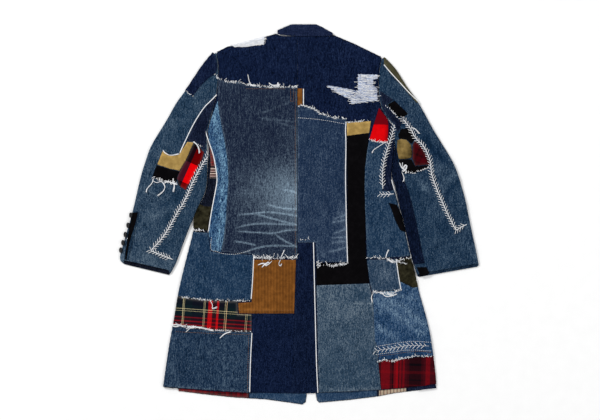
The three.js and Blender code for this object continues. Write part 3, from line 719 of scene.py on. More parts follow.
def linear(colour):
    """A colour as seen, 0 to 255, as what a shader takes."""
    values = (((c / 255 + 0.055) / 1.055) ** 2.4 if c > 10 else c / 3294.6 for c in colour)
    return tuple(EXPOSURE * value for value in values) + (1.0,)


class Shader:
    """A material's node tree, with short ways to add to it."""

    def __init__(self, name, roughness=0.9, sheen=0.0, specular=0.02):
        self.material = bpy.data.materials.new(name)
        self.material.use_nodes = True
        self.tree = self.material.node_tree
        self.surface = self.tree.nodes["Principled BSDF"]
        self.surface.inputs["Roughness"].default_value = roughness
        self.surface.inputs["Specular IOR Level"].default_value = specular
        self.surface.inputs["Sheen Weight"].default_value = sheen
        self.place = self.add("TexCoord").outputs["Object"]

    def add(self, kind, inputs=None, **settings):
        made = self.tree.nodes.new("ShaderNode" + kind)
        for key, value in settings.items():
            setattr(made, key, value)
        for key, value in (inputs or {}).items():
            if isinstance(value, bpy.types.NodeSocket):
                self.tree.links.new(value, made.inputs[key])
            else:
                made.inputs[key].default_value = value
        return made

    def math(self, operation, a, b=0.0, c=0.0):
        return self.add("Math", {0: a, 1: b, 2: c}, operation=operation).outputs[0]

    def noise(self, size, detail=2.0, roughness=0.5):
        """Soft noise whose features have a size in millimetres, as one number or three."""
        sizes = (size,) * 3 if np.isscalar(size) else size
        scaled = self.add("Mapping", {"Vector": self.place, "Scale": tuple(1 / (s * MM) for s in sizes)})
        made = self.add("TexNoise", {
            "Vector": scaled.outputs[0], "Scale": 1.0, "Detail": detail, "Roughness": roughness,
        })
        return made.outputs[0]

    def along(self, degrees):
        """Distance along a direction in the plane, in millimetres."""
        a = math.radians(degrees)
        way = (math.cos(a) / MM, math.sin(a) / MM, 0.0)
        return self.add("VectorMath", {0: self.place, 1: way}, operation="DOT_PRODUCT").outputs["Value"]

    def ramp(self, factor, stops, sharp=False):
        made = self.add("ValToRGB", {0: factor})
        band = made.color_ramp
        band.interpolation = "CONSTANT" if sharp else "LINEAR"
        while len(band.elements) < len(stops):
            band.elements.new(1.0)
        for element, (place, colour) in zip(band.elements, sorted(stops, key=lambda stop: stop[0])):
            element.position = place
            element.color = colour
        return made.outputs[0]

    def mixed(self, factor, a, b, blend="MIX"):
        made = self.add("Mix", {0: factor, 6: a, 7: b}, data_type="RGBA", blend_type=blend)
        return made.outputs[2]

    def wave(self, distance, pitch):
        """A smooth wave from 0 to 1 along a distance."""
        turn = self.math("MULTIPLY", distance, 2 * math.pi / pitch)
        return self.math("MULTIPLY_ADD", self.math("SINE", turn), 0.5, 0.5)

    def finish(self, colour, height, depth=0.4, strength=0.6, roughness=None):
        bump = self.add("Bump", {"Height": height, "Distance": depth * MM, "Strength": strength})
        self.tree.links.new(colour, self.surface.inputs["Base Color"])
        self.tree.links.new(bump.outputs[0], self.surface.inputs["Normal"])
        if roughness is not None:
            self.tree.links.new(roughness, self.surface.inputs["Roughness"])
        return self.material


UNWORN = (0.62, 0.80, 0.95)  # the red, green and blue that unworn indigo gives back, as shares of its dye


def denim(name, base, worn, grain=6, cloud=0.5, slubs=1.3):
    """Indigo twill: dark warp, paler where it is worn and where light is painted, darker where shade is
    painted, uneven by about grain steps of 255 along its slubs.
    """
    s = Shader(name)
    slub = s.noise((1.9, 16, 16), detail=3, roughness=0.6)
    fine = s.noise((1.6, 4.5, 4.5), detail=2, roughness=0.6)
    speck = s.noise(1.7, detail=2, roughness=0.7)
    patchy = s.noise(42, detail=4, roughness=0.6)
    wear_and_shading_here = s.add("Attribute", attribute_name="wear").outputs["Fac"]
    gain = grain * 0.75 * 7 / (sum(worn) / 3 - sum(base) / 3)
    uneven = 0.0
    for noise, share in ((slub, slubs), (fine, 2.0), (speck, 1.5), (patchy, cloud)):
        uneven = s.math("MULTIPLY_ADD", s.math("SUBTRACT", noise, 0.5), gain * share, uneven)
    lively = s.math("MULTIPLY_ADD", wear_and_shading_here, 2.6, 1.0)
    level = s.math("MULTIPLY_ADD", uneven, lively, s.math("MULTIPLY_ADD", wear_and_shading_here, 0.75, 0.25))
    body = tuple(c * k for c, k in zip(linear(base), UNWORN)) + (1.0,)
    dark = tuple(c * 0.25 for c in body[:3]) + (1.0,)
    colour = s.ramp(level, [(0.0, dark), (0.25, body), (1.0, linear(worn))])
    twill = s.wave(s.along(62), 1.5)
    height = s.math("MULTIPLY_ADD", twill, 0.35, s.math("ADD", slub, fine))
    rough = s.math("MULTIPLY_ADD", speck, 0.12, 0.82)
    return s.finish(colour, height, depth=0.4, strength=0.6, roughness=rough)


def plain_cloth(name, base, shade, weave_pitch=1.4, fuzz=0.5, sheen=0.0, angle=45, ribs=0.0):
    """Plain, brushed or ribbed cloth in one dye, with its weave and a soft unevenness."""
    s = Shader(name, sheen=sheen)
    soft = s.noise(14, detail=4, roughness=0.6)
    speck = s.noise(1.6, detail=2)
    weave = s.wave(s.along(angle), weave_pitch)
    wear_and_shading_here = s.add("Attribute", attribute_name="wear").outputs["Fac"]
    level = s.math("MULTIPLY_ADD", s.math("SUBTRACT", soft, 0.5), fuzz, 0.4)
    level = s.math("MULTIPLY_ADD", s.math("SUBTRACT", speck, 0.5), 0.3, level)
    level = s.math("ADD", level, wear_and_shading_here)
    if ribs:
        level = s.math("MULTIPLY_ADD", s.math("SUBTRACT", weave, 0.5), ribs, level)
    light = tuple(min(255, c * 1.35 + 14) for c in base)
    colour = s.ramp(level, [(0.0, linear(shade)), (0.4, linear(base)), (1.0, linear(light))])
    height = s.math("MULTIPLY_ADD", weave, 0.4, s.math("ADD", soft, speck))
    return s.finish(colour, height, depth=0.4, strength=0.6,
                    roughness=s.math("MULTIPLY_ADD", soft, 0.15, 0.78))


def plaid(name, across, up, angle=0.0, threads=0.5, twill_pitch=2.2, dyed=False):
    """Woven checks. Each set is where it starts, its width, its (place, colour) bands, and if it repeats.

    Dyed checks are as dark as both threads together, and others lie between the two colours.
    """
    s = Shader(name, sheen=0.0)
    colours = []
    for (start, width, bands, repeats), degrees in ((across, angle), (up, angle + 90)):
        share = s.math("DIVIDE", s.math("SUBTRACT", s.along(degrees), start), width)
        share = s.math("FRACT", share) if repeats else share
        stops = [(place / width, linear(colour)) for place, colour in bands]
        colours.append(s.ramp(share, stops, sharp=True))
    twill = s.wave(s.along(angle + 45), twill_pitch)
    if dyed:
        colour = s.mixed(1.0, colours[0], colours[1], "MULTIPLY")
    else:
        colour = s.mixed(s.math("MULTIPLY_ADD", twill, 0.5, threads - 0.25), colours[0], colours[1])
    soft = s.noise(5, detail=4, roughness=0.65)
    speck = s.noise((1.2, 4, 4), detail=2)
    shade = s.math("MULTIPLY_ADD", s.math("ADD", soft, speck), 0.7, 0.3)
    grey = s.add("CombineXYZ", {0: shade, 1: shade, 2: shade}).outputs[0]
    colour = s.mixed(1.0, colour, grey, "MULTIPLY")
    wear_and_shading_here = s.add("Attribute", attribute_name="wear").outputs["Fac"]
    colour = s.mixed(wear_and_shading_here, colour, linear((205, 196, 188)))
    height = s.math("MULTIPLY_ADD", twill, 0.5, soft)
    return s.finish(colour, height, depth=0.4, strength=0.6,
                    roughness=s.math("MULTIPLY_ADD", soft, 0.15, 0.8))


def thread_material(name, base, shade):
    s = Shader(name, sheen=0.0)
    soft = s.noise(6, detail=3)
    twist = s.wave(s.along(35), 1.1)
    colour = s.ramp(soft, [(0.3, linear(shade)), (0.62, linear(base))])
    return s.finish(colour, twist, depth=0.2, strength=0.4, roughness=s.math("MULTIPLY_ADD", soft, 0.1, 0.8))


def button_material(name):
    s = Shader(name, roughness=0.5, specular=0.15)
    marble = s.noise(4, detail=3)
    colour = s.ramp(marble, [(0.3, linear((5, 5, 8))), (0.7, linear((20, 19, 24)))])
    scuffs = s.noise(0.8, detail=2)
    return s.finish(colour, scuffs, depth=0.05, strength=0.3,
                    roughness=s.math("MULTIPLY_ADD", scuffs, 0.25, 0.25))


# ---- threads, strips and stitches ----

class Bundle:
    """Many small lengths joined into one mesh."""

    def __init__(self):
        self.points, self.faces = [], []

    def tube(self, path, half_width, half_height, sides=4):
        """A length of thread or tape along a path, closed at both ends."""
        path = np.asarray(path, float)
        if len(path) < 2:
            return
        along = np.gradient(path[:, :2], axis=0)
        along /= np.linalg.norm(along, axis=1)[:, None] + 1e-9
        across = np.column_stack([-along[:, 1], along[:, 0]])
        start = len(self.points)
        for k in range(len(path)):
            for i in range(sides):
                angle = 2 * math.pi * (i + 0.5) / sides
                reach = half_width * math.cos(angle) * math.sqrt(2)
                x, y = path[k, :2] + across[k] * reach
                z = path[k, 2] + half_height * math.sin(angle) * math.sqrt(2)
                self.points.append((x, y, max(FLOOR_AIR, z)))
        for k in range(len(path) - 1):
            for i in range(sides):
                a, b = start + k * sides + i, start + k * sides + (i + 1) % sides
                self.faces.append((b, a, a + sides, b + sides))
        last = start + (len(path) - 1) * sides
        self.faces.append(tuple(start + i for i in range(sides)))
        self.faces.append(tuple(last + sides - 1 - i for i in range(sides)))

    def made(self, name, slot, material):
        declare(add_object(name, self.points, self.faces, material), ())


def stitch(bundle, region, flat, half_width=0.5, half_height=0.4, lift=THREAD_LIFT):
    """A thread laid flat on the coat along points in the plane."""
    flat = np.asarray(flat, float)
    bundle.tube(laid(flat, region, lift), half_width, half_height)


def wandering(start, end, sway, count=5):
    """A loose thread's course between two points."""
    start, end = np.asarray(start, float), np.asarray(end, float)
    side = end - start
    normal = np.array([-side[1], side[0]]) / (np.linalg.norm(side) + 1e-9)
    t = np.linspace(0, 1, count)
    bow = (rng.uniform(-sway, sway) * np.sin(math.pi * t)
           + rng.uniform(-sway, sway) * 0.5 * np.sin(2 * math.pi * t))
    return start + t[:, None] * side + bow[:, None] * normal


def fringe(bundle, region, line, reach, spacing=1.4):
    """Short loose threads across a frayed edge, thick in some places and thin in others."""
    dense = stepped(line, spacing)
    way = tangents(dense)
    thickness = rng.uniform(0.4, 0.9)
    for (x, y), (dx, dy) in zip(dense, way):
        thickness = min(1.0, max(0.3, thickness + rng.uniform(-0.2, 0.2)))
        if rng.random() > thickness:
            continue
        lean = rng.uniform(-1.6, 1.6)
        length = reach * (0.3 + 0.9 * rng.random() ** 2)
        drop = rng.uniform(-0.6, 0.2) * length
        normal = np.array([-dy, dx]) + lean * np.array([dx, dy])
        normal /= np.linalg.norm(normal)
        start = np.array([x, y]) + normal * drop + rng.uniform(-1, 1)
        half = rng.uniform(0.3, 0.65)
        stitch(bundle, region, wandering(start, start + normal * length, 1.6, 4), half, half * 0.8,
               THREAD_LIFT + rng.uniform(0, 0.8))


def loose_thread(bundle, region, line, strands=4):
    """A tuft of strands that run together and part a little at their end."""
    path = rounded(line, 2)
    share = np.linspace(0, 1, len(path))[:, None]
    for strand in range(strands):
        start, end = (np.array([rng.uniform(-r, r), rng.uniform(-r, r)]) for r in (0.6, 2.2))
        moved = path + start * (1 - share) + end * share * (strand > 0)
        half = rng.uniform(0.4, 0.65)
        stitch(bundle, region, moved, half, half * 0.8, THREAD_LIFT + 0.5 + 0.3 * strand)


def line_length(line):
    return float(np.linalg.norm(np.diff(line, axis=0), axis=1).sum())


def spots_along(line, places):
    """The points of a line at given distances from its start."""
    travelled = np.concatenate([[0], np.cumsum(np.linalg.norm(np.diff(line, axis=0), axis=1))])
    return np.column_stack([np.interp(places, travelled, line[:, i]) for i in range(2)])


def running_stitch(bundle, region, line, length=3.2, gap=2.4, half=0.45):
    course = rounded(line, 1)
    for start in np.arange(0, line_length(course), length + gap):
        flat = spots_along(course, np.linspace(start, start + length, 4))
        stitch(bundle, region, flat, half, half * 0.7, THREAD_LIFT - 0.05)


def feather_stitch(bundle, region, line, pitch, spine, reach=11.0):
    """A spine of backstitch with long slanting stitches to both sides."""
    course = rounded(line, 1)
    dense = spots_along(course, np.arange(0, line_length(course), pitch))
    way = tangents(dense)
    for i in range(len(dense) - 1):
        across = np.array([-way[i, 1], way[i, 0]])
        stitch(bundle, region, dense[i:i + 2] + across * rng.uniform(-0.4, 0.4), spine, spine * 0.4,
               THREAD_LIFT)
        for side in (-1, 1):
            length = reach * rng.uniform(0.75, 1.15)
            out = across * side * length * 0.72 - way[i] * length * 0.7
            start = dense[i] + way[i] * pitch * 0.25 * side
            stitch(bundle, region, wandering(start, start + out, 0.4, 3), 0.6, 0.4, THREAD_LIFT + 0.2)


# ---- dyes, as they look under even light ----

NAVY = (16, 27, 53)
NAVY_WORN = (52, 68, 104)
BLACK = (8, 7, 9)
TAN = (163, 134, 77)
TAN_SHADE = (132, 104, 55)

white_thread = thread_material("white_thread", (255, 255, 255), (226, 230, 238))
tan_thread = thread_material("tan_thread", (150, 112, 76), (112, 80, 52))
horn = button_material("horn_black")


def patch(node, slot, material, region="body", **options):
    """The cloth that stands for one sewn-on CAD piece, on that piece's own outline."""
    return cloth(node, slot, material, cad_outline(node), region, nodes=(node,), **options)


# ---- under layers: fronts, lapels, collar ends and facings ----

def floor_rest(flat):
    return np.zeros(len(flat))


front_denim = denim("front_denim", (15, 22, 40), (60, 74, 100), grain=5)
collar_denim = denim("collar_denim", (27, 35, 61), (80, 92, 124), grain=5)
for side in ("left", "right"):
    cloth(f"front_{side}", "denim_mid", front_denim, cad_outline(f"front_{side}"), front_rest,
          nodes=(f"front_{side}",), low=0.15, high=1.5, step=(9, 9), hem=0.0, rests_on=("lapel_" + side,))
    cloth(f"lapel_{side}", "denim_navy", collar_denim, cad_outline(f"lapel_{side}"), floor_rest,
          nodes=(f"lapel_{side}",), low=0.1, high=1.5, step=(8, 8))
    cloth(f"collar_end_{side}", "denim_navy", collar_denim, cad_outline(f"collar_end_{side}"), floor_rest,
          nodes=(f"collar_end_{side}",), low=0.1, high=1.5, step=(8, 8))

FACING_ACROSS = [
    (0, (92, 14, 22)), (9, (26, 14, 18)), (12, (120, 18, 26)), (20, (60, 10, 16)), (26, (20, 22, 24)),
]
FACING_UP = [(0, (98, 16, 24)), (12, (34, 14, 18)), (15, (120, 22, 28))]
facing_plaid = plaid("facing_plaid", (-330, 30, FACING_ACROSS, True), (-520, 24, FACING_UP, True))
facing_stripe = plaid(
    "facing_stripe",
    (213, 9, [(0, (190, 172, 148)), (5.5, (38, 30, 30)), (7.5, (170, 120, 104))], True),
    (-520, 40, [(0, (190, 172, 148)), (36, (150, 130, 110))], True), threads=0.25)
facing_denim = denim("facing_denim", (48, 72, 98), (150, 168, 182))
facing_navy = denim("facing_navy", (22, 30, 50), (70, 84, 112))
FRONT_HEM_LEFT = [
    (-325, -477), (-308, -478), (-241, -486), (-175, -493), (-90, -498), (-39, -505), (9, -512),
    (17, -506), (20, -488),
]
FRONT_HEM_RIGHT = [
    (47, -490), (50, -502), (55, -507), (142, -499), (213, -490), (254, -482), (292, -477), (335, -472),
]


FACING_TOP = -452


def facing(name, slot, material, hem, start, end, rests_on):
    """A strip of facing turned up over the front's hem, between two places along it."""
    line = stepped(hem, 3)
    part = line[(line[:, 0] > start) & (line[:, 0] < end)]
    ring = np.vstack([part, [(part[-1, 0], FACING_TOP), (part[0, 0], FACING_TOP)]])
    cloth(name, slot, material, ring, front_rest, low=1.55, high=2.3, step=(5, 5), rough=0.2, hem=0.1,
          rests_on=(rests_on,))


facing("facing_plaid", "plaid_red", facing_plaid, FRONT_HEM_LEFT, -326, -135.5, "front_left")
facing("facing_denim_left", "denim_mid", facing_denim, FRONT_HEM_LEFT, -134.5, 22, "front_left")
facing("facing_denim_right", "denim_mid", facing_denim, FRONT_HEM_RIGHT, 46, 212.5, "front_right")
facing("facing_stripe", "stripe_cream", facing_stripe, FRONT_HEM_RIGHT, 213.5, 291.5, "front_right")
facing("facing_navy", "denim_navy", facing_navy, FRONT_HEM_RIGHT, 292.5, 336, "front_right")

# ---- back, sides and collar ----

yoke_denim = denim("yoke_denim", NAVY, NAVY_WORN, grain=5)


def yoke_wear(flat):
    # Painted shade: a darker line down each armhole seam, where the sleeves meet the back; the spots are
    # wear.
    seam_shade = soft_line_bands(flat, [[(-216, 430), (-217, 366)], [(219, 420), (216, 345)]], 5, 0.12)
    return worn_spots(flat, [(-120, 455, 70, 20, 0.05), (130, 440, 70, 20, 0.04)]) - seam_shade


def shell_panel(node, edge, rests_on):
    cloth(node, "denim_navy", yoke_denim, cad_outline(node), nodes=(node,), edges=(edge,), past=3.5,
          low=-CLOTH, high=0, step=(5, 5), hem=0.05, wear=yoke_wear, rests_on=rests_on)


shell_panel("back_left", shoulder_left, ("front_left",))
shell_panel("back_right", shoulder_right, ("front_right",))


def side_outline(seam, edge, side):
    inner = [(x + side * 0.4, y) for x, y in seam]
    return np.array(inner + [(x - side * 2, y) for x, y in reversed(edge)])


side_left_denim = denim("side_left_denim", (17, 20, 32), (64, 72, 92))
side_right_denim = denim("side_right_denim", (17, 23, 45), (76, 90, 120), grain=5)
cloth("side_left", "denim_indigo", side_left_denim, side_outline(SEAM_LEFT, EDGE_LEFT, -1),
      nodes=("side_left",), edges=(side_fold_left,), past=UNDER_LEG, low=-CLOTH, high=0,
      rests_on=("front_left",))
cloth("side_right", "denim_navy", side_right_denim,
      side_outline(SEAM_RIGHT + [(319, -474)], EDGE_RIGHT + [(371, -469)], 1), nodes=("side_right",),
      edges=(side_fold_right,), past=UNDER_LEG, low=-CLOTH, high=0, rests_on=("front_right",))


def collar_top(flat):
    return body_top(flat) + 0.4


COLLAR_ROLL = 5  # how near the fold the collar's leaf turns down
COLLAR_DROP = 4.2


def collar_height(flat):
    """The leaf lies level and turns down along the fold."""
    near_fold = 1 - np.minimum(1, nearest(flat, rounded(COLLAR_FOLD, 1))[0] / COLLAR_ROLL)
    return collar_top(flat) - COLLAR_DROP * (1 - np.sqrt(1 - near_fold ** 2))


COLLAR_LEAF = COLLAR_FOLD + [(91, 482), (43, 480.5), (3, 480.5), (-24, 482), (-58, 486)]
cloth("collar", "denim_navy", collar_denim, COLLAR_LEAF, collar_height, nodes=("collar",), low=0.2, high=1.6,
      step=(4, 2), hem=0.03, rests_on=("back_left", "back_right"))


# ---- patches of the upper back ----

def faded_wear(flat):
    x, y = flat.T
    zone = ramp(x, -190, -165)
    fade = 0.055 * ramp(-y, -170, -40) - 0.035 * ramp(-y, -20, 60) + worn_spots(flat, [
        (-30, 60, 62, 84, 0.19), (-95, 75, 70, 64, 0.07), (-12, 45, 36, 54, 0.12), (-20, 190, 26, 60, 0.03),
    ])
    lines = soft_line_bands(flat, FADED_WHISKERS[:9], 1.9, 0.4) + soft_line_bands(flat, FADED_WHISKERS[9:], 2.4, 0.09)
    return fade * zone + lines


def faded_relief(flat):
    return soft_line_bands(flat, FADED_WHISKERS[:9], 4, 0.4)


faded_denim = denim("faded_denim", (30, 37, 57), (164, 190, 210), grain=6, cloud=0.3, slubs=1.6)
patch("patch_faded_left", "denim_indigo", faded_denim, step=(2.8, 2.8), wear=faded_wear, relief=faded_relief,
      rests_on=("back_left",))


def bleached_wear(flat):
    x, y = flat.T
    centre = np.interp(y, [-100, -60, -10, 40, 95, 150, 200, 250, 300],
                       [-222, -216, -210, -206, -203, -207, -216, -226, -224])
    return 0.24 * np.exp(-((x - centre) / 9) ** 2) + 0.02


bleached_denim = denim("bleached_denim", (30, 68, 108), (142, 186, 212), grain=15)
patch("strip_bleached_left", "denim_bleached", bleached_denim, step=(3, 4), wear=bleached_wear,
      rests_on=("back_left", "side_left"))

CORD_PITCH = 8.2  # from one rib to the next


def cord_relief(flat):
    return 0.5 * (0.5 + 0.5 * np.sin(2 * math.pi * flat[:, 0] / CORD_PITCH)) ** 0.6 - 0.2


def cord_wear(flat):
    hem = [[(-165, -258), (-10, -259)]]
    return soft_line_bands(flat, hem, 1.7, 0.55) - soft_line_bands(flat, [[(-165, -262), (-10, -263)]], 1.7, 0.3)


corduroy = plain_cloth("corduroy", (116, 70, 24), (70, 38, 8), weave_pitch=CORD_PITCH, fuzz=0.9, sheen=0.15,
                       angle=0, ribs=0.16)
patch("strip_corduroy_neck", "corduroy_brown", corduroy, step=(1.3, 6), relief=cord_relief,
      rests_on=("back_right",))


def centre_wear(flat):
    lines = soft_line_bands(flat, CENTRE_WHISKERS, 2.6, 0.28)
    spots = worn_spots(flat, [(112, 10, 14, 26, 0.10), (120, -60, 14, 60, 0.08), (60, -100, 60, 30, 0.05),
                              (40, 60, 50, 90, 0.02)])
    return lines + spots


def centre_relief(flat):
    return soft_line_bands(flat, CENTRE_WHISKERS, 4, 0.6)


centre_denim = denim("centre_denim", (33, 50, 75), (150, 172, 192), grain=7)
patch("patch_centre_blue", "denim_mid", centre_denim, step=(3.4, 3.4), wear=centre_wear,
      relief=centre_relief, rests_on=("back_right",))

tan_twill = plain_cloth("tan_twill", TAN, TAN_SHADE, fuzz=0.9)
patch("strip_tan", "twill_tan", tan_twill, hem=0.2, rests_on=("back_right",))

black_nap = plain_cloth("black_nap", BLACK, (3, 3, 4), fuzz=0.7, sheen=0.0)
patch("patch_black_corner", "cloth_black", black_nap, hem=0.05, rests_on=("back_right",))


def red_wear(flat):
    return np.where(flat[:, 1] > 243, -0.45, 0.0) - 0.25 * ramp(flat[:, 0], 228, 240)


red_cloth = plain_cloth("red_cloth", (222, 3, 9), (112, 4, 16), fuzz=0.5)
patch("patch_red", "cloth_red", red_cloth, wear=red_wear, hem=0.0, rests_on=("back_right",))


def teal_right_wear(flat):
    return worn_spots(flat, [(205, 120, 22, 90, 0.05), (240, -60, 40, 60, 0.02)])


teal_right_denim = denim("teal_right_denim", (31, 58, 83), (146, 168, 184), grain=8)
patch("patch_teal_right", "denim_teal", teal_right_denim, wear=teal_right_wear, edges=(right_edge,),
      rests_on=("back_right", "side_right"))

# Painted shade: a black cloth where a slit opens, standing for its dark, shaded inside.
WEDGE_SLIT_SHADE = [(242, 31), (262, 27), (279, -15), (287, -49), (273, -42), (259, -15), (250, 12)]
cloth("wedge_black", "cloth_black", black_nap, WEDGE_SLIT_SHADE, nodes=("wedge_black",), low=ON_PATCH_LOW,
      high=ON_PATCH_HIGH, step=(3, 3), hem=0.05, edges=(wedge_edge,), rests_on=("patch_teal_right",))

RUST_BANDS = [(0, (96, 8, 12)), (3, (26, 8, 12)), (5, (150, 12, 16)), (8, (48, 8, 14)), (11, (150, 70, 64)),
              (12, (90, 10, 14))]
sliver_plaid = plaid("sliver_plaid", (-245, 15, RUST_BANDS, True), (120, 15, RUST_BANDS, True), angle=12)
patch("sliver_plaid_left", "plaid_red", sliver_plaid, step=(3, 3), rests_on=("side_left",))
SLIVER_ACROSS = [(0, (110, 70, 68)), (12, (60, 30, 36))]
SLIVER_UP = [(0, (226, 206, 190)), (2.5, (20, 10, 16)), (6.5, (214, 186, 176)), (8.5, (60, 16, 22))]
sliver_stripe = plaid("sliver_stripe", (-242, 30, SLIVER_ACROSS, True), (96, 13, SLIVER_UP, True),
                      threads=0.75)
patch("sliver_striped_left", "stripe_cream", sliver_stripe, step=(3, 3), rests_on=("side_left",))
olive_twill = plain_cloth("olive_twill", (38, 36, 24), (12, 12, 8), fuzz=2.2)
patch("sliver_olive_left", "twill_olive", olive_twill, edges=(left_edge,), hem=0.06, rests_on=("side_left",))

# ---- patches of the skirt ----

vent_denim = denim("vent_denim", (15, 25, 49), (50, 66, 100), grain=5)
patch("panel_vent", "denim_navy", vent_denim, rests_on=("back_left", "back_right"))
patch("patch_corduroy", "corduroy_brown", corduroy, step=(1.6, 7), relief=cord_relief, wear=cord_wear,
      hem=0.1, rests_on=("back_left",))


def hip_left_wear(flat):
    lines = soft_line_bands(flat, [[(-300, -150), (-215, -215)], [(-275, -60), (-290, -210)]], 8, 0.06)
    return lines + worn_spots(flat, [(-180, -170, 34, 50, 0.03), (-300, -170, 16, 60, 0.04)]) - 0.015


hip_left_denim = denim("hip_left_denim", (31, 58, 84), (142, 166, 184), grain=8)
patch("patch_hip_left", "denim_teal", hip_left_denim, wear=hip_left_wear, edges=(left_edge,),
      rests_on=("back_left", "side_left"))

GREEN, LINE, SCARLET = (13, 29, 34), (255, 240, 184), (226, 10, 16)
TARTAN_ACROSS = [
    (0, (12, 24, 32)), (24.6, LINE), (25.6, GREEN), (28.4, LINE), (29.4, GREEN), (50, (16, 18, 30)),
    (80.6, LINE), (81.5, GREEN), (84.4, LINE), (85.3, (30, 14, 22)), (93.4, SCARLET),
    (104.2, (60, 12, 20)), (115.8, SCARLET), (121.6, (20, 16, 26)), (138, LINE), (139.3, GREEN),
    (142.4, (255, 214, 160)), (143.6, GREEN), (168, (14, 18, 30)), (195, LINE), (196, GREEN),
    (198.8, LINE), (199.8, GREEN),
]
TARTAN_UP = [
    (0, (74, 16, 22)), (20.7, (170, 16, 22)), (23.9, (58, 18, 26)), (30.7, (170, 16, 22)),
    (33.7, (48, 18, 26)), (41.1, (150, 16, 22)), (44.1, (24, 20, 30)), (48, GREEN), (59, LINE),
    (60.1, GREEN), (64.6, LINE), (65.7, GREEN), (76, (14, 18, 30)),
]
tartan = plaid("tartan", (-320, 210, TARTAN_ACROSS, False), (-340, 100, TARTAN_UP, False), angle=-4)
patch("patch_tartan", "plaid_tartan", tartan, edges=(left_edge,), step=(4, 4),
      rests_on=("back_left", "side_left"))

hem_left_denim = denim("hem_left_denim", (30, 52, 76), (134, 158, 176), grain=9)


def hem_left_wear(flat):
    return (worn_spots(flat, [(-195, -400, 60, 70, 0.03), (-340, -390, 14, 80, 0.05)])
            + soft_line_bands(flat, [[(-360, -462), (-235, -474), (-140, -479)]], 4, 0.14)
            + soft_line_bands(flat, [[(-202, -331), (-202, -477)]], 2, 0.12))


patch("patch_hem_left", "denim_teal", hem_left_denim, wear=hem_left_wear, edges=(left_edge,),
      rests_on=("back_left", "side_left"))


def light_wear(flat):
    low = 0.10 * ramp(-flat[:, 1], 250, 460)
    block = worn_spots(flat, [(168, -222, 30, 17, 0.16)])
    return (0.08 - low - block + soft_line_bands(flat, [[(146, -239), (197, -240)]], 3, 0.16)
            + soft_line_bands(flat, [[(60, -474), (215, -468)]], 4, 0.10))


light_denim = denim("light_denim", (56, 76, 94), (168, 182, 190), grain=9)
patch("patch_light_denim", "denim_faded", light_denim, wear=light_wear, rests_on=("back_right",))


def small_wear(flat):
    return worn_spots(flat, [(230, -160, 26, 22, 0.1)])


small_denim = denim("small_denim", (43, 65, 86), (164, 180, 194), grain=8)
patch("patch_small_denim", "denim_mid", small_denim, wear=small_wear,
      rests_on=("back_right", "side_right"))
patch("patch_olive", "twill_olive", olive_twill, edges=(right_edge,), hem=0.06, rests_on=("side_right",))


def hip_right_wear(flat):
    # The diagonal lighter bands follow the hip's folds: partly wear, partly painted light on the folds.
    lines = [[(205, -232), (262, -268), (330, -322)], [(214, -215), (285, -250), (345, -305)],
             [(204, -290), (250, -330), (300, -372)], [(240, -212), (300, -228)], [(222, -340), (262, -372)]]
    spots = [(235, -235, 30, 26, 0.06), (300, -250, 40, 30, 0.04), (242, -214, 13, 4, 0.8)]
    darker = 0.11 * ramp(-flat[:, 1], 290, 390)
    return soft_line_bands(flat, lines, 9, 0.14) + worn_spots(flat, spots) - darker


hip_right_denim = denim("hip_right_denim", (42, 74, 108), (160, 188, 206), grain=12)
patch("patch_hip_right", "denim_faded", hip_right_denim, wear=hip_right_wear, edges=(right_edge,),
      step=(4, 4), rests_on=("back_right", "side_right"))

CRIMSON, WINE, INK = (116, 12, 22), (64, 12, 20), (14, 8, 14)
HEM_PLAID_ACROSS = [
    (0, INK), (8, WINE), (20, CRIMSON), (44, WINE), (50, INK), (54, CRIMSON), (60, (150, 10, 20)),
    (66, WINE), (69, CRIMSON), (75, WINE), (78, CRIMSON), (84, WINE), (90, (52, 8, 16)), (96, INK),
    (128, (52, 8, 16)), (134, WINE), (140, CRIMSON), (152, WINE),
]
HEM_PLAID_UP = [
    (0, WINE), (6, INK), (8, WINE), (20, CRIMSON), (23, WINE), (34, INK), (37, WINE), (52, CRIMSON),
    (60, WINE), (74, INK), (80, WINE),
]
hem_plaid = plaid("hem_plaid", (212, 162, HEM_PLAID_ACROSS, False), (-474, 92, HEM_PLAID_UP, False),
                  angle=-1.5, threads=0.27)
patch("patch_plaid_hem", "plaid_red", hem_plaid, edges=(right_edge,), step=(4, 4), hem=0.0,
      rests_on=("back_right", "side_right"))


# ---- shredded white cloth ----

def shredded_wear(flat):
    return np.array([rng.uniform(-0.12, 0.2) for _ in range(len(flat))])


shredded_cloth = plain_cloth("shredded_cloth", (150, 160, 184), (52, 66, 104), weave_pitch=2.4, fuzz=1.5,
                             angle=0)
shoulder_shreds = plain_cloth("shoulder_shreds", (232, 236, 244), (176, 186, 206), weave_pitch=2.4, fuzz=0.8,
                              angle=0)
patch("patch_shoulder_shredded", "denim_shredded", shoulder_shreds, step=(4, 4), rough=0.5,
      wear=shredded_wear, hem=0.1, edges=(shred_edge,), past=4.6, rests_on=("back_left",))
patch("patch_shredded_right", "denim_shredded", shredded_cloth, step=(4, 4), rough=1.0, wear=shredded_wear,
      hem=0.1, rests_on=("back_right",))


def shred(bundle, node, spacing, lean, reach):
    """Weft threads left across a torn place, with their ends loose."""
    ring = cad_outline(node)
    low, high = ring.min(0), ring.max(0)
    for y in np.arange(low[1], high[1], spacing):
        for x in np.arange(low[0], high[0], reach * 0.6):
            start = np.array([x + rng.uniform(-4, 4), y + rng.uniform(-1.5, 1.5)])
            end = start + np.array([reach * rng.uniform(0.6, 1.3), reach * lean + rng.uniform(-3, 3)])
            middle = (start + end) / 2
            if inside(np.array([middle]), ring)[0]:
                half = rng.uniform(0.35, 0.6)
                stitch(bundle, "body", wandering(start, end, 2.2, 6), half, half * 0.7,
                       THREAD_LIFT + rng.uniform(0, 0.7))


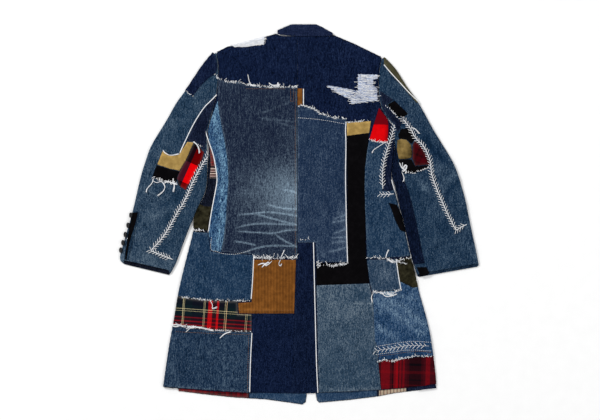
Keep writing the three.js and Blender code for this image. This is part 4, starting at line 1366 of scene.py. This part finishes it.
strands = Bundle()
shred(strands, "patch_shredded_right", 3.2, -0.05, 20)
shred(strands, "patch_shoulder_shredded", 2.0, 0.2, 15)
strands.made("shredded_threads", "denim_shredded", white_thread)


# ---- sleeves ----

SLEEVE_COLUMNS = 22  # points across a sleeve's upper side
JOIN_ROWS = 10  # rows over which the armhole's curve straightens
CUFF_ROWS = 10  # rows over which the cuff's upper side draws back
FOLD_ANGLES = np.linspace(0, math.pi, 10)[1:-1]  # places round a sleeve's folded edge


def outward(line, turn):
    """The way out of the cloth at each point of its edge."""
    way = tangents(line)
    return turn * np.column_stack([way[:, 1], -way[:, 0]])


def sleeve_rows(stations, armhole, outer, inner, opening):
    """Rows from armhole to cuff: upper side, lower side, the two ways out, and how round the edges are."""
    outer_line = rounded([s[:2] for s in stations])
    inner_line = rounded([s[2:] for s in stations])
    hole = rounded(armhole)
    hole_at = np.linspace(0, len(hole) - 1, SLEEVE_COLUMNS)
    hole = np.column_stack([np.interp(hole_at, np.arange(len(hole)), hole[:, i]) for i in range(2)])
    spread = np.linspace(0, 1, SLEEVE_COLUMNS)
    out_way = outward(outer_line, outer.turn)
    in_way = outward(inner_line, inner.turn)
    cuff_way = outer_line[-1] - outer_line[-9]
    cuff_way = cuff_way / np.linalg.norm(cuff_way)
    count = len(outer_line)
    rows = []
    for k in range(count):
        a = inner_line[k] - in_way[k] * inner.reach
        b = outer_line[k] - out_way[k] * outer.reach
        straight = a + spread[:, None] * (b - a)
        share = min(1, k / JOIN_ROWS)
        under = hole * (1 - share) + straight * share
        late = max(0, (k - count + CUFF_ROWS) / (CUFF_ROWS - 1))
        rows.append((under - cuff_way * opening * late ** 2, under, out_way[k], in_way[k], share))
    return rows


def sleeve_ring(top, under, out_way, in_way, share, height, reach, offset):
    """One row carried right round the sleeve, and where its points are in the plane."""
    z = height(top)
    ring, flat = [np.column_stack([top, z + offset])], [top]
    for end, way, turn in ((-1, out_way, FOLD_ANGLES), (0, in_way, FOLD_ANGLES[::-1])):
        half = (z[end] - UNDER_SIDE) / 2
        blend = np.sin(turn)[:, None] * (reach + offset) * way * share
        drift = (under[end] - top[end]) * (turn / math.pi)[:, None]
        xy = top[end] + blend + drift
        level = (z[end] + UNDER_SIDE) / 2 + (half + offset) * np.cos(turn)
        ring.append(np.column_stack([xy, level]))
        flat.append(xy)
        if end == -1:
            ring.append(np.column_stack([under, np.full(len(under), UNDER_SIDE - offset)])[::-1])
            flat.append(under[::-1])
    return np.vstack(ring), np.vstack(flat)


def wall_faces(size, count):
    """The faces of a tube's outer and inner skins, and of the rims that join them at its two ends."""
    total = size * count
    faces = []
    for k in range(count - 1):
        for i in range(size):
            a, b = k * size + i, k * size + (i + 1) % size
            faces.append((a, b, b + size, a + size))
            faces.append((total + b, total + a, total + a + size, total + b + size))
    last = total - size
    for i in range(size):
        n = (i + 1) % size
        faces.append((total + i, total + n, n, i))
        faces.append((last + i, last + n, total + last + n, total + last + i))
    return faces


def sleeve_tube(stations, armhole, height, outer, inner, opening):
    """A flattened sleeve as a closed wall, open at the cuff and the armhole.

    The upper side of its cuff stops short of the lower by the opening.
    """
    rows = sleeve_rows(stations, armhole, outer, inner, opening)
    skins = []
    for offset in (0.0, -SLEEVE_WALL):
        rings, flats = zip(*(sleeve_ring(*row, height, outer.reach, offset) for row in rows))
        skins.append(np.vstack(rings))
    flat = np.vstack(flats)
    count = len(rows)
    size = len(skins[0]) // count
    faces = wall_faces(size, count)
    if ring_area(skins[0][:size, [0, 2]]) > 0:
        faces = [face[::-1] for face in faces]
    return np.vstack(skins), faces, np.vstack([flat, flat]), size, count


# The left sleeve's inside, near black: its lining's colour together with painted shade, seen through the
# cuff's opening.
cuff_lining_and_shade = denim("cuff_lining_and_shade", (14, 16, 26), (50, 56, 74), grain=3)


def sleeve(name, stations, armhole, height, outer, inner, opening, material, inside_material, wear):
    points, faces, spots, size, count = sleeve_tube(stations, armhole, height, outer, inner, opening)
    obj = add_object(name + "_cloth", points, faces, material)
    set_wear(obj, wear(spots))
    obj.data.materials.append(inside_material)
    flags = np.zeros(len(faces), np.int32)
    flags[1:2 * size * (count - 1):2] = 1
    obj.data.polygons.foreach_set("material_index", flags)
    declare(obj, (name,))


def left_sleeve_wear(flat):
    x, y = flat.T
    outer = 0.04 * np.exp(-np.maximum(0, left_outer.depth(flat)[0]) / 16) * ramp(-y, -330, -120)
    cuff = 0.14 * ramp(nearest(flat, np.array([(-486.0, -130), (-340, -160)]))[0], 60, 10)
    spots = worn_spots(flat, [(-400, 60, 26, 90, 0.05), (-430, -60, 24, 40, 0.06)])
    # Lighter along the fold ridges, partly wear and partly painted light; darker along the troughs and one
    # crease near the armhole, painted shade.
    lines = soft_line_bands(flat, [[(-392, 165), (-325, 135)], [(-418, 62), (-350, 42)],
                              [(-400, -10), (-345, 15)]], 8, 0.09)
    dark = soft_line_bands(flat, [[(-405, 110), (-330, 88)], [(-372, 20), (-320, 55)],
                             [(-280, 250), (-262, 215)]], 8, 0.08)
    return outer + cuff + spots + lines - dark


def right_sleeve_wear(flat):
    outer = 0.05 * np.exp(-np.maximum(0, right_outer.depth(flat)[0]) / 12)
    spots = worn_spots(flat, [(385, 60, 30, 60, 0.05), (440, -60, 26, 60, 0.02), (300, 300, 20, 40, 0.02)])
    # Lighter along the fold ridges, partly wear and partly painted light; darker along the fold troughs,
    # painted shade.
    lines = soft_line_bands(flat, [[(366, 115), (397, 130)], [(381, 85), (423, 104)], [(345, 60), (318, 100)]], 8,
                       0.15)
    dark = soft_line_bands(flat, [[(324, 215), (397, 140)], [(393, 55), (431, 84)]], 8, 0.18)
    return outer + spots + lines - dark


left_denim = denim("left_sleeve_denim", (35, 59, 80), (142, 162, 176), grain=9)
right_denim = denim("right_sleeve_denim", (28, 53, 76), (136, 160, 178), grain=9)
right_lining = denim("right_lining", (28, 50, 72), (110, 132, 150), grain=8)
sleeve("sleeve_left", SLEEVE_LEFT, ARMHOLE_LEFT, left_top, left_outer, left_inner, 14, left_denim,
       cuff_lining_and_shade, left_sleeve_wear)
sleeve("sleeve_right", SLEEVE_RIGHT, ARMHOLE_RIGHT, right_top, right_outer, right_inner, 9, right_denim,
       right_lining, right_sleeve_wear)

placket_denim = denim("placket_denim", (30, 52, 72), (110, 132, 150), grain=9)
dark_denim = denim("dark_denim", (19, 25, 44), (70, 82, 110), grain=5)
cap_denim = denim("cap_denim", (14, 24, 50), (58, 74, 108), grain=6)
patch("sleeve_left_cap", "denim_navy", cap_denim, "left", edges=(cap_edge,), hem=0.03,
      rests_on=("sleeve_left",))
patch("sleeve_left_tan", "twill_tan", tan_twill, "left", rests_on=("sleeve_left",), hem=0.15)
patch("sleeve_left_black", "cloth_black", black_nap, "left", rests_on=("sleeve_left",), hem=0.05)
LEFT_CHECK_ACROSS = [(0, (70, 18, 34)), (21, (240, 0, 8)), (44, (150, 4, 16))]
LEFT_CHECK_DOWN = [(0, (128, 128, 128)), (13, (255, 255, 255)), (68, (110, 150, 150)), (110, (70, 70, 70))]
left_plaid = plaid("left_plaid", (-344, 60, LEFT_CHECK_ACROSS, False), (-60, 120, LEFT_CHECK_DOWN, False),
                   angle=-24, dyed=True)
patch("sleeve_left_plaid", "cloth_red", left_plaid, "left", step=(3.5, 3.5), hem=0.04,
      rests_on=("sleeve_left",))
patch("cuff_left_placket", "denim_teal", placket_denim, "left", edges=(left_outer,), step=(3, 3), hem=0.0,
      rests_on=("sleeve_left",))
# Painted shade: a black cloth on the placket, laid where the cuff's slit is dark with shade.
CUFF_SLIT_SHADE = [
    (-449, 5), (-434, 6), (-441, -25), (-450, -52), (-456, -72), (-460, -89), (-463, -109), (-466, -123),
    (-469, -120), (-466, -90), (-462, -66), (-459, -42), (-453, -15),
]
cloth("cuff_left_slit_shade", "cloth_black", black_nap, CUFF_SLIT_SHADE, "left", low=ON_PATCH_LOW,
      high=ON_PATCH_HIGH, step=(3, 3), rough=0.1, hem=0.0, rests_on=("cuff_left_placket",))
LEFT_UNDERARM = [
    (-225, 317), (-238, 303), (-255, 284), (-275, 253), (-290, 224), (-302, 198), (-284, 197),
    (-274, 193), (-254, 171), (-251, 195), (-251, 229), (-238, 270), (-227, 302),
]
cloth("sleeve_left_underarm", "denim_navy", dark_denim, LEFT_UNDERARM, "left", rests_on=("sleeve_left",))

khaki_twill = plain_cloth("khaki_twill", (70, 68, 50), (38, 38, 28), fuzz=0.6)
KHAKI_STRIP = [
    (229, 424), (248, 406), (265, 385), (287, 348), (308, 320), (322, 301), (317, 301), (301, 319),
    (275, 349), (247, 379), (229, 403),
]
cloth("sleeve_right_shoulder_strip", "twill_khaki", khaki_twill, KHAKI_STRIP, "right",
      nodes=("sleeve_right_shoulder_strip",), edges=(strip_edge,), step=(3, 3), rests_on=("sleeve_right",))
patch("sleeve_right_black_upper", "cloth_black", black_nap, "right", rests_on=("sleeve_right",), hem=0.05)
patch("sleeve_right_black_middle", "cloth_black", black_nap, "right", rests_on=("sleeve_right",), hem=0.05)
# A darker tan than the left sleeve's; its number is a little lighter overall and darker in three soft spots.
dark_tan_twill = plain_cloth("dark_tan_twill", (118, 98, 56), (48, 38, 20), fuzz=1.2)


def worn_tan_wear(flat):
    return 0.12 - worn_spots(flat, [(303, 170, 12, 22, 0.5), (268, 196, 8, 14, 0.2), (285, 150, 30, 7, 0.3)])


patch("sleeve_right_tan", "twill_tan", dark_tan_twill, "right", wear=worn_tan_wear, hem=0.0,
      rests_on=("sleeve_right",))
RIGHT_BANDS = [(0, (60, 6, 12)), (9, (44, 6, 12)), (13, (70, 6, 14)), (26, (34, 6, 10))]
right_plaid = plaid("right_plaid", (292, 32, RIGHT_BANDS, True), (120, 32, RIGHT_BANDS, True), angle=-24)
patch("sleeve_right_plaid", "plaid_red", right_plaid, "right", step=(3.5, 3.5), hem=0.03,
      rests_on=("sleeve_right",))
patch("sleeve_right_black_lower", "cloth_black", black_nap, "right", rests_on=("sleeve_right",), hem=0.05)
patch("cuff_right_black", "cloth_black", black_nap, "right", step=(3, 3), hem=0.05,
      rests_on=("sleeve_right",))
RIGHT_UNDERARM = [
    (219, 333), (254, 309), (236, 297), (265, 261), (277, 259), (273, 233), (265, 221), (257, 244),
    (240, 264), (226, 287), (219, 320),
]
cloth("sleeve_right_underarm", "denim_navy", dark_denim, RIGHT_UNDERARM, "right", rests_on=("sleeve_right",))
# A dark strip along the sleeve's inner edge, next to the body: partly the strip's own navy, partly painted
# shade.
RIGHT_STRIPE_AND_SHADE = [
    (262.5, 200), (257, 170), (254, 140), (251.5, 118), (252, 96), (261, 74), (270, 30), (276, 8),
    (282, -14), (287, -36), (296, -80), (301, -102), (307, -124), (311, -134), (339, -131), (327, -77),
    (316, -20), (302, 40), (284, 93), (281, 108), (269, 131), (266, 150), (262.5, 176),
]
stripe_denim_and_shade = denim("stripe_denim_and_shade", (11, 19, 38), (44, 60, 94), grain=5)
cloth("sleeve_right_stripe_and_shade", "denim_navy", stripe_denim_and_shade, RIGHT_STRIPE_AND_SHADE, "right", edges=(stripe_edge,),
      hem=0.05, rests_on=("sleeve_right",))


# ---- stitches, selvedges and loose threads ----

tapes = Bundle()
for region, line in SELVEDGES:
    dense = stepped(rounded(line, 2), 4)
    tapes.tube(laid(dense, region, THREAD_LIFT - 0.1), 1.15, 0.3)
tapes.made("selvedges", "denim_shredded", white_thread)

loose = Bundle()
for region, reach, line in FRAYS:
    fringe(loose, region, line, reach)
for region, line in THREADS:
    loose_thread(loose, region, line)
loose.made("frays", "denim_shredded", white_thread)

pale = Bundle()
for region, pitch, spine, line in FEATHERS:
    feather_stitch(pale, region, line, pitch, spine)
for region, line in PALE_DASHES:
    running_stitch(pale, region, line)
pale.made("stitches_pale", "denim_shredded", white_thread)

brown = Bundle()
for region, line in BROWN_DASHES:
    running_stitch(brown, region, line)
brown.made("stitches_tan", "twill_tan", tan_thread)


# ---- buttons ----

BUTTON_SIDES = 40
BUTTON_HOLES = 4
HOLE_SIDES = 12
HOLE_RADIUS = 1.0
HOLE_SPREAD = 2.1  # from the button's middle to each hole's
DISH_DEPTH = 0.8
SEWING_HALF = 0.35


def unit_ring(sides):
    angles = np.arange(sides) * 2 * math.pi / sides
    return np.column_stack([np.cos(angles), np.sin(angles)])


def band_faces(one, other, sides):
    """The faces between two rings of points, from where each starts."""
    turns = [(i, (i + 1) % sides) for i in range(sides)]
    return [(one + i, one + n, other + n, other + i) for i, n in turns]


def pierced_disc(radius, centres, rim_start, holes_start):
    """The holes' points and the triangles of a disc whose rim's points are there already."""
    rings = [unit_ring(BUTTON_SIDES) * radius]
    rings += [unit_ring(HOLE_SIDES) * HOLE_RADIUS + centre for centre in centres]
    flat = np.vstack(rings)
    sides, start = [], 0
    for ring in rings:
        sides += [(start + i, start + (i + 1) % len(ring)) for i in range(len(ring))]
        start += len(ring)
    done = delaunay_2d_cdt([Vector(p) for p in flat], sides, [], 0, 1e-6)
    source = {new: olds[0] for new, olds in enumerate(done[3])}
    index = [rim_start + i for i in range(BUTTON_SIDES)]
    index += [holes_start + i for i in range(len(flat) - BUTTON_SIDES)]
    faces = []
    for face in done[2]:
        corners = [source[i] for i in face]
        middle = flat[corners].mean(0)
        in_hole = any(np.linalg.norm(middle - centre) <= HOLE_RADIUS * 0.95 for centre in centres)
        if not in_hole and np.linalg.norm(middle) < radius:
            faces.append(tuple(index[i] for i in corners))
    return flat[BUTTON_SIDES:], faces


def lathe_button(radius, thickness):
    """A sew-through button with a rim, a dished face and four holes right through it."""
    dish = thickness - DISH_DEPTH
    profile = [
        (radius - 1.0, 0.0), (radius - 0.25, 0.25), (radius, thickness / 2),
        (radius - 0.25, thickness - 0.25), (radius - 1.0, thickness), (radius - 1.9, thickness - 0.2),
        (radius - 2.6, dish),
    ]
    circle = unit_ring(BUTTON_SIDES)
    points = [np.column_stack([circle * r, np.full(BUTTON_SIDES, z)]) for r, z in profile]
    centres = [(HOLE_SPREAD * math.cos(a), HOLE_SPREAD * math.sin(a))
               for a in (math.pi / 4 + np.arange(BUTTON_HOLES) * math.pi / 2)]
    last_ring = (len(profile) - 1) * BUTTON_SIDES
    upper = last_ring + BUTTON_SIDES
    lower = upper + BUTTON_HOLES * HOLE_SIDES
    faces = []
    for start in range(0, last_ring, BUTTON_SIDES):
        faces += band_faces(start, start + BUTTON_SIDES, BUTTON_SIDES)
    for disc, z, rim_start, holes_start in ((profile[-1][0], dish, last_ring, upper),
                                            (profile[0][0], 0.0, 0, lower)):
        holes, triangles = pierced_disc(disc, centres, rim_start, holes_start)
        points.append(np.column_stack([holes, np.full(len(holes), z)]))
        faces += triangles if rim_start else [face[::-1] for face in triangles]
    for hole in range(BUTTON_HOLES):
        faces += band_faces(upper + hole * HOLE_SIDES, lower + hole * HOLE_SIDES, HOLE_SIDES)
    return np.vstack(points), faces, centres


def button(node, radius, thickness, facing_down=False):
    """A button with its sewing, where the CAD button is and facing as it does."""
    corners = np.array([vertex.co[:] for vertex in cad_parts[node].data.vertices]) / MM
    middle = (corners.min(0) + corners.max(0)) / 2
    spread = corners - corners.mean(0)
    axis = np.linalg.svd(spread, full_matrices=False)[2][2]
    axis = axis * (-1 if (axis[2] > 0) == facing_down else 1)
    side = np.cross((0.0, 1.0, 0.0), axis)
    side /= np.linalg.norm(side)
    basis = np.vstack([side, np.cross(axis, side), axis])
    points, faces, centres = lathe_button(radius, thickness)
    points = (points - (0, 0, thickness / 2)) @ basis + middle
    obj = add_object(node + "_horn", points, faces, horn, np.array([len(face) == 4 for face in faces]))
    declare(obj, (node,))
    sewing = Bundle()
    top = thickness - DISH_DEPTH + 0.25
    for a, b in ((0, 1), (3, 2)):
        path = np.array([(*centres[a], 0.4), (*centres[a], top), (*centres[b], top), (*centres[b], 0.4)])
        sewing.tube((path - (0, 0, thickness / 2)) @ basis + middle, SEWING_HALF, SEWING_HALF)
    sewing.made(node + "_sewing", "button_black", dark_thread)


dark_thread = thread_material("dark_thread", (30, 31, 38), (16, 18, 24))
CUFF_BUTTONS, CUFF_BUTTON_RADIUS, CUFF_BUTTON_THICK = 5, 7.5, 3
FRONT_BUTTONS, FRONT_BUTTON_RADIUS, FRONT_BUTTON_THICK = 3, 10, 2.4
for i in range(1, CUFF_BUTTONS + 1):
    button(f"cuff_button_{i}", CUFF_BUTTON_RADIUS, CUFF_BUTTON_THICK)
for i in range(1, FRONT_BUTTONS + 1):
    button(f"front_button_{i}", FRONT_BUTTON_RADIUS, FRONT_BUTTON_THICK, facing_down=True)


# ---- floor, lights and camera ----

FLOOR_HALF = 4.0  # metres
CAMERA_PLACE = (0.0027, 0.01215, 5.0)  # metres, straight above the coat
CAMERA_LENS = 111.1
SKY = 0.62  # strength of the even light from all round


def make_floor():
    mesh = bpy.data.meshes.new("floor")
    half = FLOOR_HALF
    mesh.from_pydata([(-half, -half, 0), (half, -half, 0), (half, half, 0), (-half, half, 0)], [],
                     [(0, 1, 2, 3)])
    s = Shader("floor_paper", roughness=0.95, specular=0.05)
    grain = s.noise(30, detail=3)
    colour = s.ramp(grain, [(0.3, (0.93, 0.93, 0.93, 1)), (0.7, (0.95, 0.95, 0.95, 1))])
    mesh.materials.append(s.finish(colour, grain, depth=0.02, strength=0.1))
    obj = bpy.data.objects.new("floor", mesh)
    bpy.context.scene.collection.objects.link(obj)


def add_light(name, place, size, power):
    data = bpy.data.lights.new(name, "AREA")
    data.shape = "DISK"
    data.size = size
    data.energy = power
    obj = bpy.data.objects.new(name, data)
    obj.location = place
    obj.rotation_euler = (-Vector(place)).to_track_quat("-Z", "Y").to_euler()
    bpy.context.scene.collection.objects.link(obj)


def make_world():
    world = bpy.data.worlds.new("studio")
    world.use_nodes = True
    background = world.node_tree.nodes["Background"]
    background.inputs["Color"].default_value = (1.0, 1.0, 1.0, 1.0)
    background.inputs["Strength"].default_value = SKY
    bpy.context.scene.world = world


def make_camera():
    data = bpy.data.cameras.new("camera")
    data.lens = CAMERA_LENS
    obj = bpy.data.objects.new("camera", data)
    obj.location = CAMERA_PLACE
    bpy.context.scene.collection.objects.link(obj)
    bpy.context.scene.camera = obj


make_floor()
make_world()
add_light("key", (-1.9, 1.7, 2.3), 0.9, 66)
add_light("fill", (2.4, -0.6, 2.6), 1.8, 26)
make_camera()
bpy.context.scene.view_settings.view_transform = "Standard"
